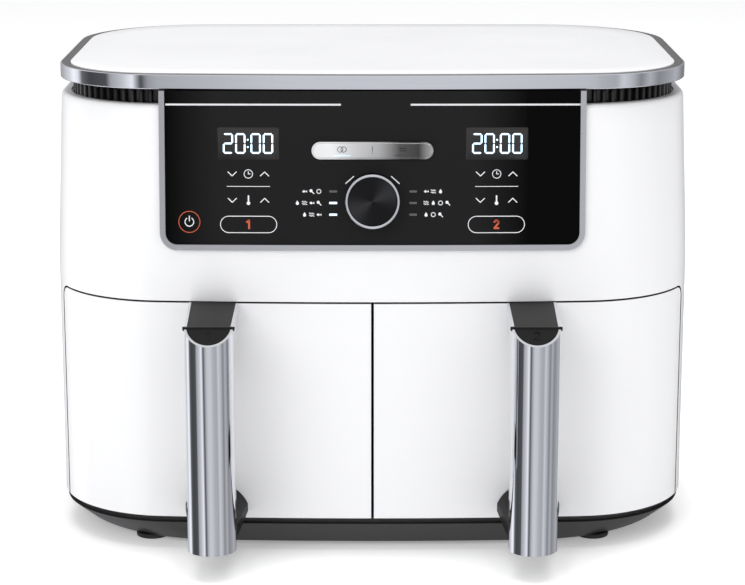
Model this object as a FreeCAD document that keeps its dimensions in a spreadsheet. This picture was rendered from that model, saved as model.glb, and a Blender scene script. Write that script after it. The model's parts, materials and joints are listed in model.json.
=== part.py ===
"""Two-zone air fryer: a parametric FreeCAD document, in millimetres.

+Z is up and the drawers face -Y. While a piece is drawn, y = 0 is the middle of the drawer fronts; every
piece is then moved back by half the difference of the two reaches, so that the origin lies on the surface
that the feet stand on, under the middle of the whole object. Zone 1 is on the -X side.
"""
import FreeCAD, Part
import Sketcher
import math
import os

doc = FreeCAD.newDocument("AirFryer")
sheet = doc.addObject("Spreadsheet::Sheet", "Sizes")

# ---------------------------------------------------------------- driving dimensions
# A value in brackets follows another dimension: that one times the factor, plus the step.
DRIVING = (
    # housing
    ("half_width", 211.3, "half the width of the housing at its widest"),
    ("top_half_width", ("half_width", 1.0, -3.3), "half the width of the housing under the lid"),
    ("front_bow", 1960.0, "radius of the bowed front in plan"),
    ("front_corner", 78.0, "radius of the front corners in plan"),
    ("rear_corner", 86.0, "radius of the rear corners in plan"),
    ("rear_y", 292.0, "back face of the housing"),
    ("wall", 3.0, "wall of the housing"),
    ("lean", 6.6, "degrees that the upper front leans back"),
    ("lean_start", ("drawer_top", 1.0, 20.5), "height at which the upper front starts to lean"),
    ("shell_top", ("drawer_top", 1.0, 127.0), "top edge of the housing"),
    ("seam_y", 60.0, "side seam between the drawer fronts and the housing"),
    ("seam", 1.2, "gap of the side seam"),
    ("layer_gap", 0.3, "gap between pieces that are stacked or nested"),
    # base
    ("foot_rise", 3.0, "underside of the base"),
    ("foot_radius", 11.0, "radius of a rubber foot"),
    ("foot_x", ("half_width", 1.0, -63.3), "distance of a foot from the middle"),
    ("foot_front_y", 34.0, "front feet"),
    ("foot_rear_y", ("rear_y", 1.0, -46.0), "rear feet"),
    ("base_shoulder", 18.0, "height of the widest line of the base"),
    ("base_top", 22.0, "top of the base"),
    ("base_floor", 3.0, "floor and walls of the base"),
    ("base_half_width", ("half_width", 1.0, -6.3), "half the width of the underside of the base"),
    ("base_front", 10.0, "front edge of the underside of the base"),
    ("base_corner", 105.0, "front corner radius of the underside of the base"),
    ("base_inset", 1.2, "how far the shoulder of the base stands inside the housing"),
    ("groove_inset", 5.0, "how far the strip above the shoulder stands inside the housing"),
    # lid
    ("band_bottom", ("shell_top", 1.0, 10.0), "underside of the rim"),
    ("lid_top", ("band_bottom", 1.0, 10.5), "top of the rim"),
    ("lid_half_width", ("half_width", 1.0, -3.8), "half the width of the lid"),
    ("lid_front", 12.0, "front edge of the lid"),
    ("lid_rear", ("rear_y", 1.0, -1.0), "back edge of the lid"),
    ("lid_front_corner", 70.0, "front corner radius of the lid"),
    ("lid_rear_corner", ("rear_corner", 1.0, 2.0), "rear corner radius of the lid"),
    ("band_wall", 1.2, "metal band round the rim"),
    ("rim_width", 6.4, "top face of the rim"),
    ("ledge_width", 12.0, "ledge inside the rim that carries the top panel"),
    ("top_panel_drop", 0.5, "top panel below the rim"),
    ("top_panel_wall", 3.0, "top panel"),
    ("neck_inset", 11.0, "air intake wall behind the edge of the lid"),
    ("neck_wall", 3.0, "air intake wall"),
    ("neck_flange", 3.0, "flange of the air intake"),
    ("vent_pitch", 5.8, "spacing of the intake slots"),
    ("vent_slot", 3.0, "width of an intake slot"),
    ("side_vents", 26.0, "intake slots on a side"),
    ("rear_vents", 40.0, "intake slots at the back"),
    # drawers
    ("drawer_bottom", 22.3, "lower edge of a drawer front"),
    ("drawer_top", 167.5, "upper edge of a drawer front"),
    ("drawer_gap", 1.2, "gap over the drawer fronts"),
    ("divider_gap", 1.7, "gap between the two drawer fronts"),
    ("front_skin", 3.2, "thickness of a drawer front"),
    ("front_round", 1.4, "rounded edges of a drawer front"),
    ("carrier_back", 38.0, "back of the drawer carrier"),
    ("carrier_wall", 2.5, "walls of the drawer carrier"),
    ("pan_inner_x", ("chamber_inner_x", 1.0, 6.0), "side of the pan near the middle"),
    ("pan_outer_x", ("chamber_outer_x", 1.0, -6.0), "side of the pan near the housing"),
    ("pan_front", 38.2, "front of the pan"),
    ("pan_rear", ("chamber_rear", 1.0, -24.0), "back of the pan"),
    ("pan_corner", 45.0, "corner radius of the pan"),
    ("pan_bottom", 31.0, "underside of the pan"),
    ("pan_top", ("drawer_top", 1.0, -17.5), "rim of the pan"),
    ("pan_wall", 1.5, "wall of the pan"),
    ("pan_flange", 3.4, "rim of the pan, outwards"),
    ("crisper_gap", 3.0, "gap round the crisper plate"),
    ("crisper_rise", 13.0, "crisper plate above the floor of the pan"),
    ("crisper_wall", 1.6, "crisper plate"),
    ("crisper_hole", 4.6, "radius of a hole in the crisper plate"),
    ("bumper_length", 18.0, "silicone bumper"),
    ("bumper_slack", 0.35, "bumper to the wall of the pan"),
    # handles
    ("handle_x", ("half_width", 0.5, -3.15), "handle from the middle"),
    ("neck_half", 16.0, "half the width of the handle at the drawer front"),
    ("grip_half", 15.25, "half the width of the grip"),
    ("grip_chord", 50.0, "where the round front of the grip begins, forwards"),
    ("grip_round", 11.5, "height of the round front of the grip"),
    ("grip_rear", 40.0, "back of the grip, forwards"),
    ("grip_bottom", 17.5, "lower end of the grip"),
    ("neck_top", ("drawer_top", 1.0, 0.5), "top of the handle at the drawer front"),
    ("neck_slope", 4.0, "fall of the top of the handle to the cap"),
    ("neck_under", ("neck_top", 1.0, -17.0), "underside of the neck"),
    ("neck_curve", 24.0, "radius under the neck"),
    ("cap_start", 48.0, "back edge of the cap, forwards"),
    ("cap_fall", 0.7, "fall of the cap for each mm forwards"),
    ("cap_depth", 3.4, "cap, measured upright"),
    ("shell_wall", 1.6, "bright shell of the handle"),
    ("core_proud", 1.0, "core behind the bright shell"),
    ("shell_slack", 0.1, "core inside the bright shell"),
    ("foot_half", 20.5, "half the width of the lower bracket at the drawer front"),
    ("foot_low", 27.0, "underside of the lower bracket at the drawer front"),
    ("foot_side", 5.0, "straight sides of the lower bracket"),
    ("foot_arch", 14.0, "arch of the lower bracket"),
    ("screw_radius", 1.9, "shank of a handle screw"),
    ("screw_head", 3.6, "head radius of a screw"),
    ("screw_slack", 0.25, "screw in its hole"),
    ("screw_spread", 7.0, "handle screws from the middle of the handle"),
    ("upper_screw_z", ("drawer_top", 1.0, -8.0), "upper handle screws"),
    ("lower_screw_z", 36.0, "lower handle screws"),
    # frame, chambers and runners
    ("frame_y", ("seam_y", 1.0, 13.0), "front face of the inner frame"),
    ("frame_wall", 4.0, "thickness of the inner frame"),
    ("chamber_wall", 0.8, "sheet of a cooking chamber"),
    ("chamber_inner_x", 4.0, "side of a chamber near the middle"),
    ("chamber_outer_x", ("half_width", 1.0, -7.3), "side of a chamber near the housing"),
    ("chamber_rear", ("rear_y", 1.0, -22.0), "back of a chamber"),
    ("chamber_corner", ("rear_corner", 1.0, -14.0), "rear corner of a chamber, beside the housing"),
    ("chamber_top", ("shell_top", 1.0, -82.5), "top of a chamber"),
    ("mouth_top", ("drawer_top", 1.0, -10.5), "top of the mouth of a chamber"),
    ("rail_height", 6.0, "height of a runner"),
    ("rail_slack", 0.3, "pan rim above its runner"),
    ("rail_front", 80.0, "front end of a runner"),
    ("rail_rear", ("chamber_rear", 1.0, -76.0), "back end of a runner"),
    # hot air
    ("fan_x", ("chamber_outer_x", 0.5, 2.0), "fan axis from the middle"),
    ("fan_y", ("chamber_rear", 1.0, -96.0), "fan axis from the front"),
    ("guard_z", ("chamber_top", 1.0, -51.0), "underside of the fan guard"),
    ("guard_radius", 84.0, "radius of the fan guard"),
    ("guard_wall", 1.2, "sheet of the fan guard"),
    ("post_radius", 2.5, "posts of the fan guard"),
    ("post_circle", 78.0, "circle of the posts"),
    ("heater_radius", 63.0, "radius of the heater ring"),
    ("heater_tube", 3.3, "radius of the heater tube"),
    ("heater_z", ("chamber_top", 1.0, -39.0), "height of the heater"),
    ("heater_lead", 12.0, "heater leads from the middle"),
    ("hot_fan_z", ("chamber_top", 1.0, -30.0), "underside of the hot-air fan"),
    ("hot_fan_radius", 58.0, "radius of the hot-air fan"),
    ("hot_fan_height", 20.0, "height of the hot-air fan"),
    ("cool_fan_z", ("chamber_top", 1.0, 50.0), "underside of the cooling fan"),
    ("cool_fan_radius", 50.0, "radius of the cooling fan"),
    ("cool_fan_height", 14.0, "height of the cooling fan"),
    ("fan_disc", 1.6, "disc and blades of a fan"),
    ("fan_hub", 9.0, "radius of a fan hub"),
    ("blades", 9.0, "blades of a fan"),
    ("shaft_radius", 3.0, "motor shaft"),
    ("shaft_low", ("chamber_top", 1.0, -33.0), "lower end of the motor shaft"),
    ("shaft_high", ("chamber_top", 1.0, 68.0), "upper end of the motor shaft"),
    ("running_slack", 0.06, "shaft in its bore, on the radius"),
    ("deck_wall", 1.2, "motor deck"),
    ("deck_hole", 8.0, "radius of the hole round a shaft"),
    ("motor_radius", 34.0, "radius of a motor"),
    ("motor_height", 38.0, "height of a motor"),
    ("probe_radius", 2.0, "temperature probe"),
    ("probe_low", ("chamber_top", 1.0, -26.0), "tip of a temperature probe"),
    ("probe_y", ("chamber_rear", 1.0, -14.0), "temperature probes from the front"),
    # back
    ("cover_half", ("fan_x", 1.0, 12.0), "half the width of the rear cover"),
    ("cover_low", 62.0, "lower edge of the rear cover"),
    ("cover_high", ("shell_top", 1.0, -22.5), "upper edge of the rear cover"),
    ("cover_wall", 2.6, "rear cover"),
    ("cover_lip", 7.0, "lip of the rear cover behind the housing"),
    ("louvre_half", 46.0, "half the length of a louvre"),
    ("louvre_slot", 4.0, "height of a louvre slot"),
    ("louvre_pitch", 9.0, "spacing of the louvres"),
    ("louvres", 9.0, "louvres in a column"),
    ("gland_x", 92.0, "cord gland from the middle"),
    ("gland_z", 40.0, "height of the cord gland"),
    ("gland_radius", 8.0, "cord gland"),
    ("gland_reach", 6.0, "cord gland behind the housing"),
    ("cord_bore", 3.6, "bore of the cord gland"),
    # control panel, in its own leaning plane
    ("dial_z", ("shell_top", 1.0, -60.0), "height of the middle of the dial"),
    ("panel_proud", 1.5, "control panel in front of the housing"),
    ("panel_half", 132.8, "half the width of the control panel"),
    ("panel_low", 28.3, "lower edge of the control panel below the dial"),
    ("panel_high", 70.0, "upper edge of the control panel above the dial"),
    ("panel_wall", 3.0, "glass and carrier of the control panel"),
    ("panel_corner", 7.5, "lower corners of the control panel"),
    ("frame_strip", 3.8, "silver frame round the control panel"),
    ("frame_proud", 1.2, "silver frame in front of the control panel"),
    ("frame_deep", 1.2, "silver frame behind the face of the control panel"),
    ("panel_slack", 0.15, "control panel in its frame"),
    ("dial_radius", 17.45, "outside of the dial ring"),
    ("dial_ring_wall", 2.1, "wall of the dial ring"),
    ("dial_proud", 9.0, "dial in front of the panel"),
    ("dial_slack", 0.35, "dial in the hole of the panel"),
    ("dial_skirt", 1.6, "dial behind the face of the panel"),
    ("stem_radius", 3.0, "stem of the dial"),
    ("sleeve_radius", 5.0, "push sleeve round the stem"),
    ("encoder_half", 12.0, "half the side of the dial encoder"),
    ("board_y", 15.0, "front of the control board behind the panel face"),
    ("board_wall", 1.6, "boards"),
    ("board_half", ("panel_half", 1.0, -14.8), "half the width of the control board"),
    ("board_low", 24.0, "lower edge of the control board below the dial"),
    ("board_high", 52.0, "upper edge of the control board above the dial"),
    ("boss_radius", 3.4, "bosses of the control panel"),
    ("display_x", ("panel_half", 1.0, -53.3), "display from the middle"),
    ("display_v", 36.1, "display above the dial"),
    ("display_half", 19.4, "half the width of a display"),
    ("display_tall", 21.0, "height of a display"),
    ("rocker_v", 32.1, "rocker above the dial"),
    ("rocker_half", 38.9, "half the length of the rocker"),
    ("rocker_tall", 11.1, "height of the rocker"),
    ("rocker_proud", 2.0, "rocker in front of the panel"),
    ("rocker_wall", 4.4, "rocker, front to back"),
    ("rocker_slack", 0.4, "rocker in its slot"),
    ("rocker_pivot", 8.0, "pivot of the rocker behind the panel face"),
    ("pivot_radius", 1.3, "pivot pin of the rocker"),
    ("button_travel", 1.0, "gap between the rocker and its switches"),
)


class Size:
    """A length or a number, kept both as its value and as the sheet expression that gives it."""

    def __init__(self, value, text):
        self.value = value
        self.text = text

    def __add__(self, other):
        other = sized(other)
        return Size(self.value + other.value, f"({self.text} + {other.text})")

    def __radd__(self, other):
        return sized(other) + self

    def __neg__(self):
        return Size(-self.value, f"(-1 * {self.text})")

    def __sub__(self, other):
        other = sized(other)
        return Size(self.value - other.value, f"({self.text} - {other.text})")

    def __rsub__(self, other):
        return sized(other) - self

    def __mul__(self, other):
        other = sized(other)
        return Size(self.value * other.value, f"({self.text} * {other.text})")

    def __rmul__(self, other):
        return sized(other) * self

    def __truediv__(self, other):
        other = sized(other)
        return Size(self.value / other.value, f"({self.text} / {other.text})")

    def root(self):
        return Size(math.sqrt(self.value), f"sqrt({self.text})")

    def tangent(self):
        return Size(math.tan(math.radians(self.value)), f"tan({self.text} * 1 deg)")

    def cosine(self):
        return Size(math.cos(math.radians(self.value)), f"cos({self.text} * 1 deg)")

    def positive(self):
        return self if self.value > 0 else -self


def sized(value):
    """The value itself if it is a Size already, or a plain number as a Size."""
    if isinstance(value, Size):
        return value
    return Size(float(value), f"({float(value)!r})")


class Sizes:
    """Each driving dimension as an attribute of its own name."""


d = Sizes()
ROWS = {alias: (row, value, note) for row, (alias, value, note) in enumerate(DRIVING, start=1)}


def enter(alias):
    """Writes one dimension in the sheet; one that follows another is its factor times that one, plus a step."""
    if hasattr(d, alias):
        return
    row, value, note = ROWS[alias]
    text = str(value)
    if isinstance(value, tuple):
        leader, factor, step = value
        enter(leader)
        text = f"={leader} * {factor} + {step}"
        value = getattr(d, leader).value * factor + step
    sheet.set(f"A{row}", note)
    sheet.set(f"B{row}", text)
    sheet.setAlias(f"B{row}", alias)
    setattr(d, alias, Size(value, f"Sizes.{alias}"))


for dimension in ROWS:
    enter(dimension)
doc.recompute()

# ---------------------------------------------------------------- sizes that follow from them
shell_low = d.base_top + d.layer_gap
overhang = d.drawer_top + d.drawer_gap
lean_slope = d.lean.tangent()
top_front = lean_slope * (d.shell_top - d.lean_start)
panel_y = lean_slope * (d.dial_z - d.lean_start) - d.panel_proud
handle_reach = d.grip_chord + d.grip_round
rear_reach = d.rear_y + d.gland_reach
middle_y = (rear_reach - handle_reach) / 2
chamber_low = d.base_top + d.layer_gap
deck_z = d.chamber_top + d.layer_gap
motor_z = deck_z + d.deck_wall + d.layer_gap
pan_floor = d.pan_bottom + d.pan_wall
crisper_z = pan_floor + d.crisper_rise
divider_half = d.divider_gap / 2
FAR = 40.0

# ---------------------------------------------------------------- drawing helpers
SIDES = ((1, -1), (2, 1))
NORMAL = {"XY": 1, "XZ": -1, "YZ": 1}
pieces = {}


def bind(feature, path, size):
    """Ties one property to the sheet, or sets it where no driving dimension is part of it."""
    feature.setExpression(path, sized(size).text)


def arc_between(start, finish, radius):
    """The shorter arc from start to finish: to the left of the chord for a positive radius."""
    half = (finish - start) / 2
    left = FreeCAD.Vector(-half.y, half.x, 0).normalize()
    rise = math.sqrt(max(radius * radius - half.Length * half.Length, 0))
    centre = start + half + left * math.copysign(rise, radius)
    first, last = (start, finish) if radius > 0 else (finish, start)
    angles = [math.atan2(point.y - centre.y, point.x - centre.x) for point in (first, last)]
    circle = Part.Circle(centre, FreeCAD.Vector(0, 0, 1), abs(radius))
    return Part.ArcOfCircle(circle, angles[0], angles[1])


def draw_circle(sketch, x, y, radius):
    """One circle, with its middle and its radius tied to the sheet."""
    index = sketch.GeometryCount
    centre = FreeCAD.Vector(x.value, y.value, 0)
    sketch.addGeometry(Part.Circle(centre, FreeCAD.Vector(0, 0, 1), radius.value))
    rules = (("DistanceX", (index, 3), x), ("DistanceY", (index, 3), y), ("Radius", (index,), radius))
    for kind, place, size in rules:
        number = sketch.addConstraint(Sketcher.Constraint(kind, *place, size.value))
        bind(sketch, f"Constraints[{number}]", size)


def draw_outline(sketch, outline):
    """One closed outline. A corner is (x, y) where a straight edge leaves it, or (x, y, radius) where an
    arc does: a positive radius turns left and a negative one turns right."""
    base = sketch.GeometryCount
    corners = [tuple(sized(value) for value in corner) for corner in outline]
    shapes, starts, ends = [], [], []
    for corner, following in zip(corners, corners[1:] + corners[:1]):
        start = FreeCAD.Vector(corner[0].value, corner[1].value, 0)
        finish = FreeCAD.Vector(following[0].value, following[1].value, 0)
        turned = len(corner) == 3 and corner[2].value < 0
        if len(corner) == 3:
            shapes.append(arc_between(start, finish, corner[2].value))
        else:
            shapes.append(Part.LineSegment(start, finish))
        starts.append(2 if turned else 1)
        ends.append(1 if turned else 2)
    sketch.addGeometry(shapes)
    count = len(shapes)
    rules = []
    for index in range(count):
        after = (index + 1) % count
        joined = (base + index, ends[index], base + after, starts[after])
        rules.append(Sketcher.Constraint("Coincident", *joined))
    sketch.addConstraint(rules)
    for index, corner in enumerate(corners):
        spot = (base + index, starts[index])
        tied = [("DistanceX", spot, corner[0]), ("DistanceY", spot, corner[1])]
        if len(corner) == 3:
            tied.append(("Radius", (base + index,), corner[2].positive()))
        for kind, place, size in tied:
            number = sketch.addConstraint(Sketcher.Constraint(kind, *place, size.value))
            bind(sketch, f"Constraints[{number}]", size)


def sketch_on(body, plane, at, outlines):
    """A sketch parallel to one of the body's own origin planes, through the coordinate `at`."""
    support = [item for item in body.Origin.OriginFeatures if item.Role == f"{plane}_Plane"]
    sketch = body.newObject("Sketcher::SketchObject", f"{body.Name}_outline")
    sketch.AttachmentSupport = (support[0], [""])
    sketch.MapMode = "FlatFace"
    bind(sketch, "AttachmentOffset.Base.z", sized(at) * NORMAL[plane])
    for outline in outlines:
        if outline[0] == "circle":
            draw_circle(sketch, *[sized(value) for value in outline[1:]])
        else:
            draw_outline(sketch, outline)
    return sketch


def pad(body, plane, at, outlines, length):
    """Adds material from the plane through `at` towards the positive axis."""
    feature = body.newObject("PartDesign::Pad", f"{body.Name}_pad")
    feature.Profile = sketch_on(body, plane, at, outlines)
    bind(feature, "Length", length)
    feature.Reversed = NORMAL[plane] < 0
    body.Tip = feature
    return feature


def pocket(body, plane, at, outlines, length):
    """Cuts from the plane through `at` towards the positive axis, and makes sure that it did cut."""
    doc.recompute()
    before = body.Shape.Volume
    feature = body.newObject("PartDesign::Pocket", f"{body.Name}_pocket")
    feature.Profile = sketch_on(body, plane, at, outlines)
    bind(feature, "Length", length)
    feature.Reversed = NORMAL[plane] > 0
    body.Tip = feature
    doc.recompute()
    if body.Shape.Volume >= before - 1e-6:
        raise RuntimeError(f"{body.Name}: a pocket cut nothing")
    return feature


def loft(body, sections):
    """A solid with straight sides through (z, outline) sections that have the same number of corners."""
    sketches = [sketch_on(body, "XY", z, [outline]) for z, outline in sections]
    feature = body.newObject("PartDesign::AdditiveLoft", f"{body.Name}_loft")
    feature.Profile = sketches[0]
    feature.Sections = sketches[1:]
    feature.Ruled = True
    body.Tip = feature
    return feature


def cut_loft(body, sections):
    """The same as a loft, taken away."""
    sketches = [sketch_on(body, "XY", z, [outline]) for z, outline in sections]
    feature = body.newObject("PartDesign::SubtractiveLoft", f"{body.Name}_hollow")
    feature.Profile = sketches[0]
    feature.Sections = sketches[1:]
    feature.Ruled = True
    body.Tip = feature
    return feature


def repeat_along(body, feature, axis, step, count):
    """A row of one feature, `step` apart, in the direction of the named axis of its own sketch."""
    pattern = body.newObject("PartDesign::LinearPattern", f"{body.Name}_row")
    pattern.Originals = [feature]
    pattern.Direction = (feature.Profile[0], [axis])
    bind(pattern, "Length", step * (count - 1))
    bind(pattern, "Occurrences", count)
    body.Tip = pattern
    return pattern


def repeat_round(body, feature, count):
    """One feature repeated round the body's own upright axis."""
    pattern = body.newObject("PartDesign::PolarPattern", f"{body.Name}_round")
    pattern.Originals = [feature]
    pattern.Axis = (feature.Profile[0], ["N_Axis"])
    pattern.Angle = 360
    bind(pattern, "Occurrences", count)
    body.Tip = pattern
    return pattern


def fillet(body, radius, test):
    """Rounds the edges of the body that pass the test."""
    doc.recompute()
    tip = body.Tip
    names = [f"Edge{index}" for index, edge in enumerate(tip.Shape.Edges, start=1) if test(edge)]
    if not names:
        raise RuntimeError(f"{body.Name}: no edge to round")
    feature = body.newObject("PartDesign::Fillet", f"{body.Name}_round_edges")
    feature.Base = (tip, names)
    bind(feature, "Radius", radius)
    body.Tip = feature
    return feature


def new_body(name):
    return doc.addObject("PartDesign::Body", name)


def place(item, x=0.0, y=0.0, z=0.0):
    """Puts a finished piece where it belongs, seen from the object's origin."""
    bind(item, "Placement.Base.x", x)
    bind(item, "Placement.Base.y", sized(y) - middle_y)
    bind(item, "Placement.Base.z", z)


def place_on_panel(item):
    """Puts a piece that is drawn in the plane of the control panel where it belongs."""
    item.Placement = FreeCAD.Placement(
        FreeCAD.Vector(0, 0, 0), FreeCAD.Rotation(FreeCAD.Vector(-1, 0, 0), d.lean.value)
    )
    bind(item, "Placement.Rotation.Angle", d.lean)
    bind(item, "Placement.Base.y", panel_y - middle_y)
    bind(item, "Placement.Base.z", d.dial_z)


def finish(label, item):
    """Names a finished piece."""
    item.Label = label
    pieces[label] = item
    return item


def common(name, one, other):
    both = doc.addObject("Part::Common", name)
    both.Base = one
    both.Tool = other
    return both


def less(name, one, other):
    rest = doc.addObject("Part::Cut", name)
    rest.Base = one
    rest.Tool = other
    return rest


def fused(name, items):
    whole = doc.addObject("Part::MultiFuse", name)
    whole.Shapes = items
    return whole


def group(name, items):
    together = doc.addObject("Part::Compound", name)
    together.Links = items
    return together


def block(name, low, high):
    """A box between two corners."""
    item = doc.addObject("Part::Box", name)
    for axis, side, start, end in zip("xyz", ("Length", "Width", "Height"), low, high):
        bind(item, side, sized(end) - sized(start))
        bind(item, f"Placement.Base.{axis}", start)
    return item


def rod(name, start, radius, length, axis="z"):
    """A cylinder from its start point along a positive axis."""
    item = doc.addObject("Part::Cylinder", name)
    turn = {"x": ((0, 1, 0), 90), "y": ((-1, 0, 0), 90), "z": ((0, 0, 1), 0)}[axis]
    turned = FreeCAD.Rotation(FreeCAD.Vector(*turn[0]), turn[1])
    item.Placement = FreeCAD.Placement(FreeCAD.Vector(0, 0, 0), turned)
    bind(item, "Radius", radius)
    bind(item, "Height", length)
    for name_of_axis, value in zip("xyz", start):
        bind(item, f"Placement.Base.{name_of_axis}", value)
    return item


# ---------------------------------------------------------------- outlines
def rectangle(left, right, low, high):
    return [(left, low), (right, low), (right, high), (left, high)]


def rounded(left, right, low, high, radius):
    """A rectangle with four round corners."""
    return [
        (left + radius, low),
        (right - radius, low, radius),
        (right, low + radius),
        (right, high - radius, radius),
        (right - radius, high),
        (left + radius, high, radius),
        (left, high - radius),
        (left, low + radius, radius),
    ]


def mirrored(outline, side):
    """The outline itself on the +X side, or its mirror image on the -X side."""
    if side > 0:
        return outline
    if outline[0] == "circle":
        return ("circle", -sized(outline[1])) + tuple(outline[2:])
    turned = []
    for corner in outline:
        flipped = (-sized(corner[0]), corner[1])
        turned.append(flipped + tuple(-sized(radius) for radius in corner[2:]))
    return turned


def corner_centre(half_width, front, bow, corner):
    """Middle of a front corner that runs smoothly into the bowed front and the straight side."""
    across = half_width - corner
    reach = bow - corner
    return across, front + bow - (reach * reach - across * across).root()


def plan_outline(half_width, front, corner, rear, rear_corner, offset=0.0):
    """Plan of the housing: bowed front, round corners, straight sides and back, all moved inwards."""
    centre_x, centre_y = corner_centre(half_width, front, d.front_bow, corner)
    bow = d.front_bow - offset
    small = corner - offset
    scale = d.front_bow / (d.front_bow - corner)
    touch_x = centre_x * scale - centre_x / (d.front_bow - corner) * offset
    drop = front + d.front_bow - centre_y
    touch_y = front + d.front_bow - drop / (d.front_bow - corner) * bow
    side = half_width - offset
    back = rear - offset
    rear_small = rear_corner - offset
    return [
        (-touch_x, touch_y, bow),
        (touch_x, touch_y, small),
        (side, centre_y),
        (side, back - rear_small, rear_small),
        (side - rear_small, back),
        (rear_small - side, back, rear_small),
        (-side, back - rear_small),
        (-side, centre_y, small),
    ]


def body_plan(offset=0.0):
    return plan_outline(d.half_width, sized(0), d.front_corner, d.rear_y, d.rear_corner, offset)


def top_plan(offset=0.0):
    return plan_outline(d.top_half_width, top_front, d.front_corner, d.rear_y, d.rear_corner, offset)


def lid_plan(offset=0.0):
    sizes = (d.lid_half_width, d.lid_front, d.lid_front_corner, d.lid_rear, d.lid_rear_corner)
    return plan_outline(*sizes, offset)


def front_at(x, offset=0.0):
    """Face of the bowed drawer fronts at a distance from the middle."""
    bow = d.front_bow - offset
    return d.front_bow - (bow * bow - x * x).root()


def front_curve(offset, inner_x, end_y):
    """Three points along the front of the +X side: near the middle, start and end of the corner."""
    centre_x, centre_y = corner_centre(d.half_width, sized(0), d.front_bow, d.front_corner)
    bow = d.front_bow - offset
    small = d.front_corner - offset
    share = bow / (d.front_bow - d.front_corner)
    touch = (centre_x * share, d.front_bow - (d.front_bow - centre_y) * share)
    drop = centre_y - end_y
    end = (centre_x + (small * small - drop * drop).root(), end_y)
    return (inner_x, front_at(sized(inner_x), offset)), touch, end, bow, small


# ---------------------------------------------------------------- housing
def make_upper_shell():
    """White housing: bowed front above the drawers, leaning back, with sides and back down to the base."""
    body = new_body("shell")
    low, high = shell_low, d.shell_top
    loft(body, ((low, body_plan()), (d.lean_start, body_plan()), (high, top_plan())))
    cut_loft(body, ((low, body_plan(d.wall)), (d.lean_start, body_plan(d.wall)), (high, top_plan(d.wall))))
    wide = d.half_width + FAR
    pocket(body, "XY", low - 1, [rectangle(-wide, wide, -FAR, d.seam_y + d.seam)], overhang - low + 1)
    opening = d.panel_half + d.layer_gap
    bottom = d.dial_z - d.panel_low * d.lean.cosine() - d.layer_gap * 4
    pocket(body, "XZ", -FAR, [rectangle(-opening, opening, bottom, high + 1)], FAR + d.seam_y)
    gap = d.layer_gap
    cover = rectangle(-d.cover_half - gap, d.cover_half + gap, d.cover_low - gap, d.cover_high + gap)
    gland = ("circle", d.gland_x, d.gland_z, d.gland_radius + d.layer_gap)
    pocket(body, "XZ", d.rear_y - d.rear_corner / 2, [cover, gland], d.rear_corner)
    place(body)
    finish("upper_shell", body)


def make_intake_neck():
    """Dark air intake under the lid: a flange inside the housing and an upright wall with slots."""
    body = new_body("neck")
    flange_low = d.shell_top - d.layer_gap - d.neck_flange
    inner = d.neck_inset + d.neck_wall
    pad(body, "XY", flange_low, [top_plan(d.wall + d.layer_gap + 1), lid_plan(inner)], d.neck_flange)
    wall_top = d.band_bottom - d.layer_gap
    pad(body, "XY", flange_low, [lid_plan(d.neck_inset), lid_plan(inner)], wall_top - flange_low)
    front_back = d.lid_front + d.neck_inset + d.neck_wall
    low = d.shell_top + 1
    tall = wall_top - low - 2
    first_y = d.lid_front + d.lid_front_corner + d.vent_slot * 2
    side = pocket(
        body, "YZ", -d.lid_half_width, [rectangle(first_y, first_y + d.vent_slot, low, low + tall)],
        d.lid_half_width * 2,
    )
    side_count = d.side_vents - 1
    repeat_along(body, side, "H_Axis", d.vent_pitch * side_count / side_count, d.side_vents)
    start_x = -d.vent_pitch * (d.rear_vents - 1) / 2 - d.vent_slot / 2
    back_y = d.lid_rear - inner - 1
    back = pocket(
        body, "XZ", back_y, [rectangle(start_x, start_x + d.vent_slot, low, low + tall)],
        d.neck_wall + 2,
    )
    repeat_along(body, back, "H_Axis", d.vent_pitch, d.rear_vents)
    room = d.panel_half + d.frame_strip + 1
    pocket(body, "XZ", -1, [rectangle(-room, room, flange_low - 1, d.shell_top + 1)], front_back - d.neck_wall)
    place(body)
    finish("intake_neck", body)


def make_lid():
    """Rim with a ledge, the metal band round it, and the white top panel on the ledge."""
    rim = new_body("rim")
    low = d.band_bottom
    panel_low = d.lid_top - d.top_panel_drop - d.top_panel_wall
    gap = d.layer_gap
    edge = d.band_wall + gap / 3
    pad(rim, "XY", low, [lid_plan(edge), lid_plan(d.rim_width)], d.lid_top - low)
    pad(rim, "XY", low, [lid_plan(d.rim_width), lid_plan(d.ledge_width)], panel_low - gap - low)
    place(rim)
    finish("top_rim", rim)
    band = new_body("band")
    pad(band, "XY", low, [lid_plan(), lid_plan(d.band_wall)], d.lid_top - low - d.band_wall)
    place(band)
    finish("rim_band", band)
    panel = new_body("lid_panel")
    pad(panel, "XY", panel_low, [lid_plan(d.rim_width + gap)], d.top_panel_wall)
    place(panel)
    finish("top_panel", panel)


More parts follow.
